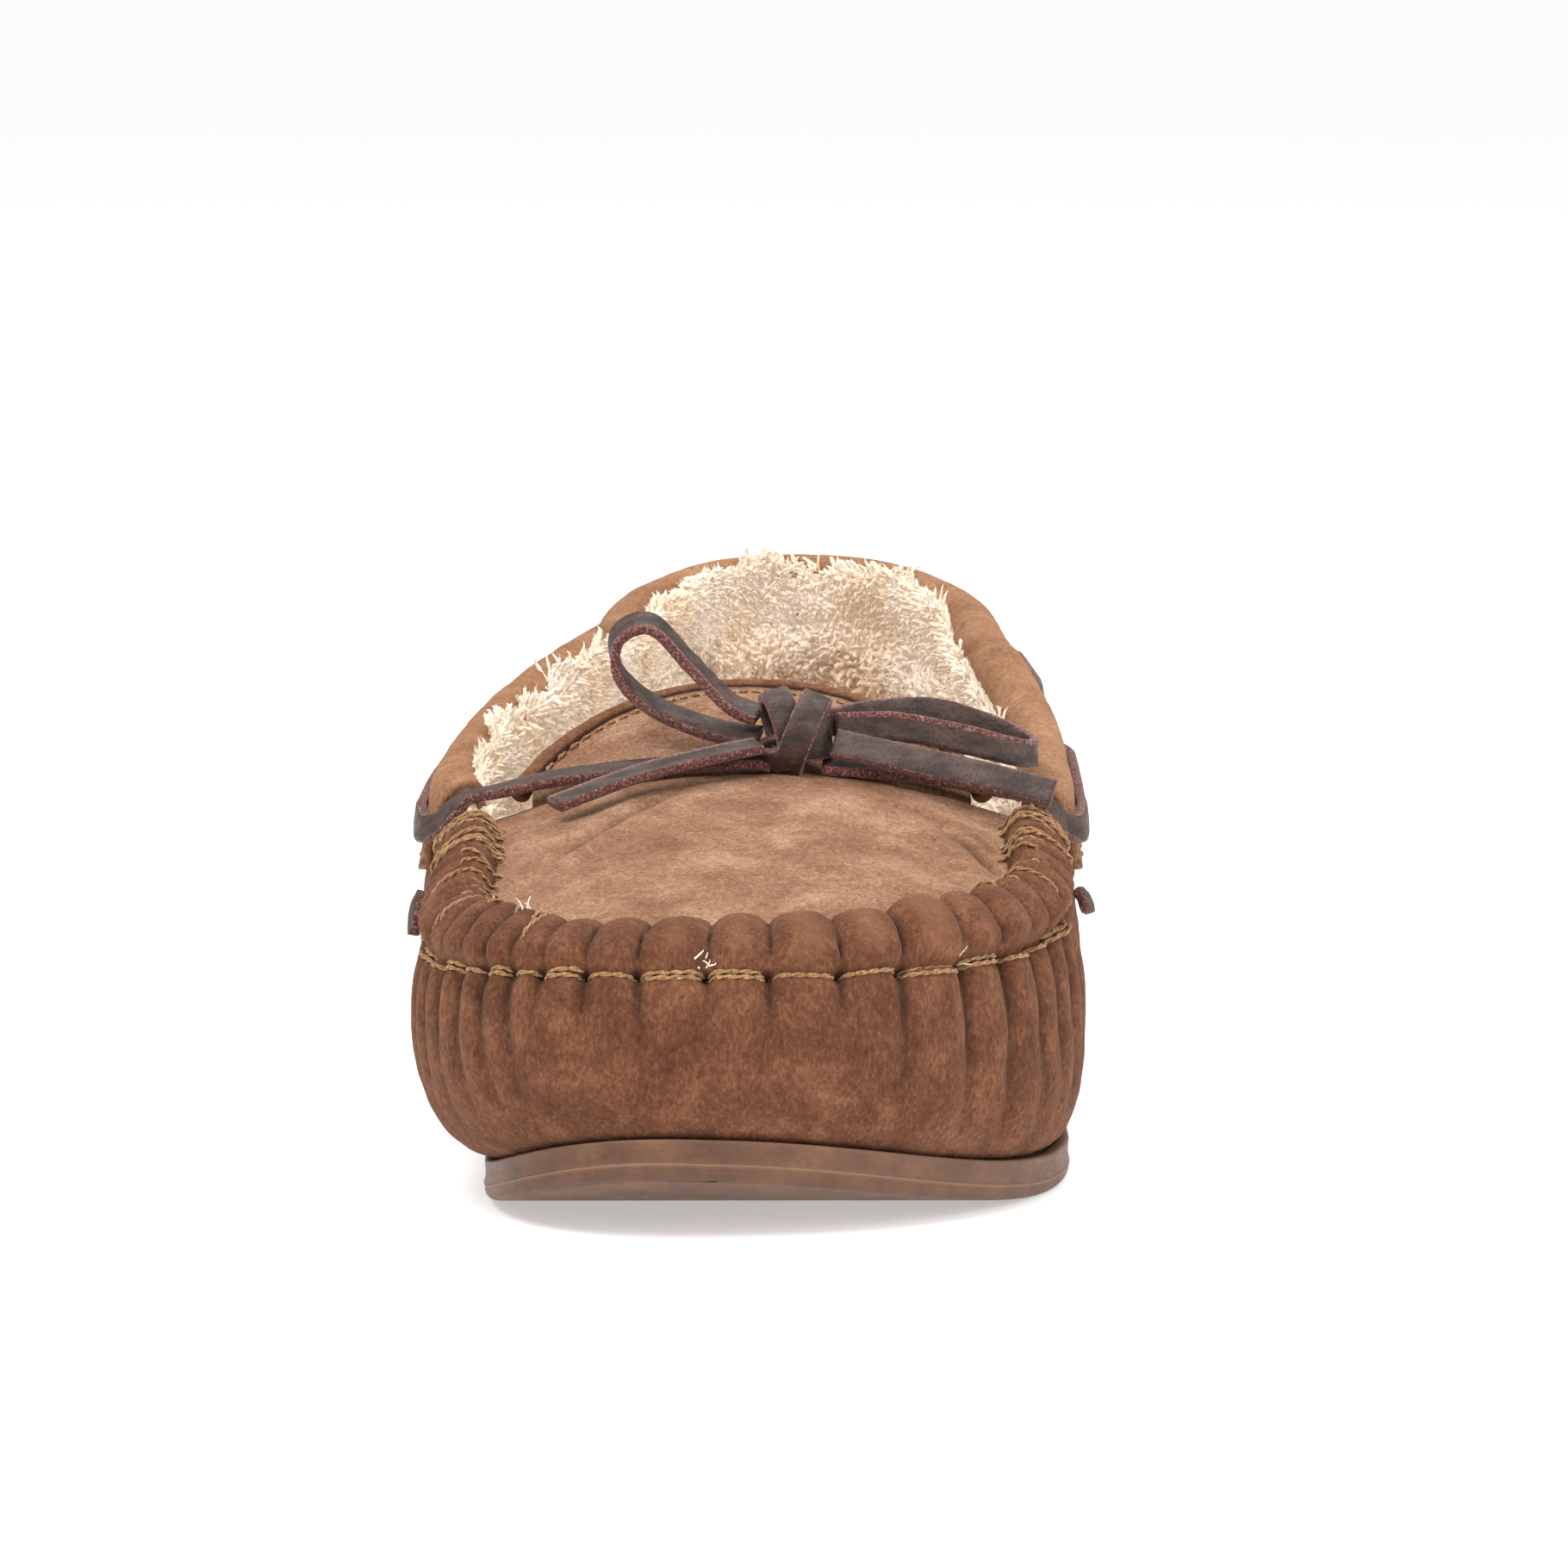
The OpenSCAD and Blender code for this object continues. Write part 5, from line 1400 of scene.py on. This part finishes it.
for side, word in SIDES:
    k = 10 if side == MEDIAL else 20
    collar_locks(side, "collar_wool_" + word, 100 + k, 9000)
    wall_locks(side, "wall_wool_" + word, 200 + k, 8500, g_from=1.1, band=(0.55, 0.93), long=4.2, wide=0.85)
    wall_locks(side, "deep_wool_" + word, 300 + k, 3600, g_from=1.4, band=(0.2, 0.6), long=4.0, wide=0.9)

# ---------- the padded footbed ----------


def bed_edge(g, z_at):
    """Where the footbed's level meets the fleece's face, a little inside it."""
    t = np.linspace(0.0, 0.7, 90)
    G, T = np.meshgrid(g, t, indexing="ij")
    face = offset_at(G, T, -(FLEECE_IN + COUNTER_ROOM * in_heel(G)))
    face[:, 0] = foot_row(g, FLEECE_IN + COUNTER_ROOM * in_heel(g))
    points = []
    for row, angle in zip(face, g):
        level = z_at(from_toe(row))
        above = row[:, 2] >= level
        k = int(np.argmax(above)) if above.any() else len(t) - 1
        points.append(row[max(k, 1)])
    points = np.array(points)
    n = normal_at(g, np.full_like(g, 0.3))
    points = points - BED_GAP * unit(n * [1, 1, 0])
    return np.stack([points[:, 0], points[:, 1], z_at(from_toe(points))], -1)


bed_g = all_round(121)
low, high = bed_edge(bed_g, foam_low), bed_edge(bed_g, bed_high)


def toward_spine(edge, share):
    spine = np.stack([middle(from_toe(edge)), np.clip(edge[:, 1], -92, 92), edge[:, 2]], -1)
    return mix(edge, spine, share)


def settle(p, z_at, puff):
    p = p.copy()
    p[..., 2] = z_at(from_toe(p)) + puff
    return p


shares = np.linspace(0, 1, 34) ** 0.8
under = np.array([settle(toward_spine(low, k), foam_low, 0) for k in shares[::6]])[::-1]
side_rows = np.array([mix(low, high, k) for k in (0.25, 0.5, 0.75)])
over = []
for k in shares:
    p = toward_spine(high, k)
    base = settle(p, bed_high, 0)
    puff = -0.7 + 0.5 * smooth(k / 0.3) + 0.5 * lumps(base, 7, 95) + 0.3 * lumps(base, 2.5, 96)
    over.append(settle(p, bed_high, puff))
rings = np.concatenate([under, side_rows, np.array(over)])
rows = rings.shape[0]
points = rings.reshape(-1, 3)
faces, n = grid_faces(rows, len(bed_g), ring=True)
centre_low, centre_high = rings[0].mean(0), rings[-1].mean(0)
points = np.concatenate([points, centre_low[None], centre_high[None]])
for row, hub in ((n[0], len(points) - 2), (n[-1], len(points) - 1)):
    faces += [(int(row[k]), int(row[k + 1]), hub) for k in range(len(row) - 1)]
footbed = piece(
    "padded_footbed", "shoe", [shearling], (points, faces),
    ["footbed_foam", "footbed_shearling"],
    {"deep": np.concatenate([np.full(rows * len(bed_g), 0.35), [0.35, 0.35]])},
)
wander = np.random.default_rng(77)
count = 8800
x, y = wander.uniform(-44, 44, count), wander.uniform(-20, 116, count)
s = y + UPPER_LEN / 2
g = np.interp(s, edge_s, edge_g)
room = [plan(inset(FEATHER, FLEECE_IN - 6), side * np.clip(g, 1, 2.95))[0] for side in (1, -1)]
keep = (x > room[0]) & (x < room[1])
x, y, s = x[keep], y[keep], s[keep]
roots = np.stack([x, y, bed_high(s) - 0.5], -1)
ways = unit(np.array([0, -0.15, 1]) + 0.6 * wander.standard_normal((len(x), 3)) * [1, 1, 0.3])
n = len(x)
lengths, widths = wander.uniform(2.6, 4.2, n), wander.uniform(0.4, 0.75, n)
wool_locks("footbed_wool", "shoe", roots, ways, lengths, widths, 78, np.full(n, 0.6))

# Linings under the plug and the tongue
q = np.concatenate([np.linspace(0.06, 1, 40), np.linspace(1, g_of_s(PLUG_BACK - 1), 14)[1:]])
u = edge_to_edge(60)
U, Q = np.meshgrid(u, q)
room = inset(TOP, LINING_GAP + 3)
top_rows = plug_point(Q, U, -WALL_OUT, room)
p = plug_point(Q, U, -WALL_OUT - TOP_SHEARLING_T, inset(TOP, LINING_GAP + 4))
low_rows = p + (0.8 * lumps(p, 5, 97))[..., None] * UP
fleece("plug_fleece", "shoe", top_rows, low_rows, "plug_lining", np.full(2 * U.size, 0.7))
V, U = np.meshgrid(np.linspace(0.05, 1, 40), u, indexing="ij")
top_rows = tongue_point(V, U, -WALL_OUT, TONGUE_HALF_W - 2, 2.0)
p = tongue_point(V, U, -WALL_OUT - TOP_SHEARLING_T, TONGUE_HALF_W - 3, 2.4)
low_rows = p + (0.7 * lumps(p, 5, 98))[..., None] * UP
fleece("tongue_fleece", "tongue", top_rows, low_rows, "tongue_lining", np.full(2 * U.size, 0.35))

# Wool that shows past the tongue's rolled edge, and wisps pulled through the gathered seam
count = 2600
wander = np.random.default_rng(88)
u = wander.uniform(-0.97, 0.97, count)
v = wander.uniform(0.9, 1.0, count)
roots = tongue_point(v, u, -WALL_OUT - 1.5, TONGUE_HALF_W - 2, 1.5)
ways = unit(np.stack([0.3 * u, 0.8 + 0 * u, 0.1 + 0 * u], -1) + 0.45 * wander.standard_normal((count, 3)))
lengths, widths = wander.uniform(1.8, 3.2, count), wander.uniform(0.4, 0.7, count)
wool_locks("tongue_wool", "tongue", roots, ways, lengths, widths, 89, np.full(count, 0.3))

wisps, ways = [], []
for arc, t, many in ((1.6, 0.66, 9), (37, 0.99, 9), (43, 0.99, 8), (27, 0.9, 3), (-33, 0.66, 2)):
    for _ in range(many):
        a = arc + 0.6 * wander.standard_normal()
        at = min(0.99, t + 0.015 * wander.standard_normal())
        wisps.append(on_wrap(np.array([a]), np.array([at]), -0.4)[0])
        ways.append(normal_at(np.array([float(g_at_arc(a))]), at)[0] + 0.5 * wander.standard_normal(3))
wisps, ways = np.array(wisps), unit(np.array(ways))
n = len(wisps)
lengths, widths = wander.uniform(1.4, 2.6, n), wander.uniform(0.12, 0.2, n)
wool_locks("seam_wisps", "shoe", wisps, ways, lengths, widths, 90, np.full(n, 0.1))

# ---------- the outsole ----------

loop_g = all_round(361)
FIRST_GROOVE = SOLE_FRONT + SPRING_LEN + TREAD_W


def tread(s):
    """Depth of the tread at s: grooves with sloping sides across the sole."""
    k = (s - FIRST_GROOVE + TREAD_W) / TREAD_PITCH
    off = np.abs((k - np.floor(k)) * TREAD_PITCH - TREAD_W)
    inside = (s > FIRST_GROOVE - TREAD_W) & (s < UPPER_LEN - SOLE_BACK - TREAD_PITCH + TREAD_W)
    return TREAD_DEPTH * smooth((TREAD_W / 2 + 0.3 - off) / 0.9) * inside


def sole_loop(d, z_at):
    p = plan(inset(SOLE, d), loop_g)
    return lift(p, z_at(p[1]))


def wall(d, z):
    return sole_loop(d, lambda s: mix(sole_bottom(s) + BEVEL, rim_z(s), z))


loops, shade_marks, worn_marks = [], [], []


def add_loop(p, hollow_shade_at=0.0, worn_at=0.0):
    loops.append(p)
    shade_marks.append(np.full(len(loop_g), hollow_shade_at))
    worn_marks.append(np.full(len(loop_g), worn_at))


# Over the rim: how far in, how far below its top, how much painted shade it takes next to the upper, and how
# worn
add_loop(sole_loop(RIM_W, floor_z), 1)
for d, below, dark, pale in (
    (RIM_W, 0.6, 1, 0), (RIM_W - 0.25, 0.1, 0.9, 0), (RIM_W - 0.7, 0, 0.3, 0),
    (0.45, 0, 0, 0.5), (0.1, 0.15, 0, 0.7),
):
    add_loop(sole_loop(d, lambda s: rim_z(s) - below), dark, pale)
# Down the wall: how high, how far in and how worn, with a thin raised line near the bottom
for z, d, pale in (
    (0.9, 0, 0.2), (0.82, 0.05, 0), (0.6, 0.12, 0), (0.4, 0.12, 0), (0.24, 0.08, 0.1), (0.18, 0.05, 0.3),
    (0.15, -0.12, 1), (0.12, -0.12, 1), (0.09, 0.05, 0.3), (0.0, 0.12, 0),
):
    add_loop(wall(d, z), 0, pale)
# Round the bevel to the bottom, with a little painted shade as it turns under
for k in np.linspace(0.12, 1, 7):
    turn = k * math.pi / 2
    p = plan(inset(SOLE, BEVEL * (1 - math.cos(turn))), loop_g)
    add_loop(lift(p, sole_bottom(p[1]) + BEVEL * (1 - math.sin(turn))), 0.1 * k)
edge = loops[-1]
for k in (0.03, 0.1, 0.25, 0.45, 0.7, 0.9, 0.985):
    p = edge.copy()
    s = from_toe(p)
    p[:, 0] = mix(p[:, 0], middle(s), k)
    cut = tread(s) * smooth(k / 0.03)
    p[:, 2] = sole_bottom(s) + cut
    loops.append(p)
    # Painted shade in the tread's grooves
    shade_marks.append(cut / TREAD_DEPTH * 0.7)
    worn_marks.append(np.full(len(loop_g), 0.2))
inner = []
for k in (0.25, 0.6, 0.9):
    p = loops[0].copy()
    s = from_toe(p)
    p[:, 0] = mix(p[:, 0], middle(s), k)
    p[:, 2] = floor_z(s)
    inner.append(p)
loops = inner[::-1] + loops
# The hidden top of the sole inside the rim is all painted shade
shade_marks = [np.ones(len(loop_g))] * 3 + shade_marks
worn_marks = [np.zeros(len(loop_g))] * 3 + worn_marks
rings = np.array(loops)
faces, n = grid_faces(*rings.shape[:2], ring=True)
m = len(loop_g)
for row in (n[0], n[-1]):
    ends = row[:-1].tolist()
    for k in range(1, m // 2):
        a, b, c, d = ends[k - 1], ends[k], ends[m - k], ends[(m - k + 1) % m]
        faces.append((a, b, c, d) if k > 1 else (a, b, c))
    faces.append((ends[m // 2 - 1], ends[m // 2], ends[m // 2 + 1]))
piece(
    "rubber_sole", "shoe", [sole_rubber], (rings.reshape(-1, 3), faces), ["outsole"],
    {"hollow": np.concatenate(shade_marks), "worn": np.concatenate(worn_marks)},
)

# ---------- layers inside, the floor and the finish ----------

for node, paint in (("bottom_filler", felt), ("insole_board", fibre_board), ("heel_counter", fibre_board)):
    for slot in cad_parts[node].material_slots:
        slot.link = "OBJECT"
        slot.material = paint

ground = bpy.data.meshes.new("floor")
ground.from_pydata([(-30, -30, 0), (30, -30, 0), (30, 30, 0), (-30, 30, 0)], [], [(0, 1, 2, 3)])
ground.materials.append(floor_paint)
link(bpy.data.objects.new("floor", ground))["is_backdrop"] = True

low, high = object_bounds()
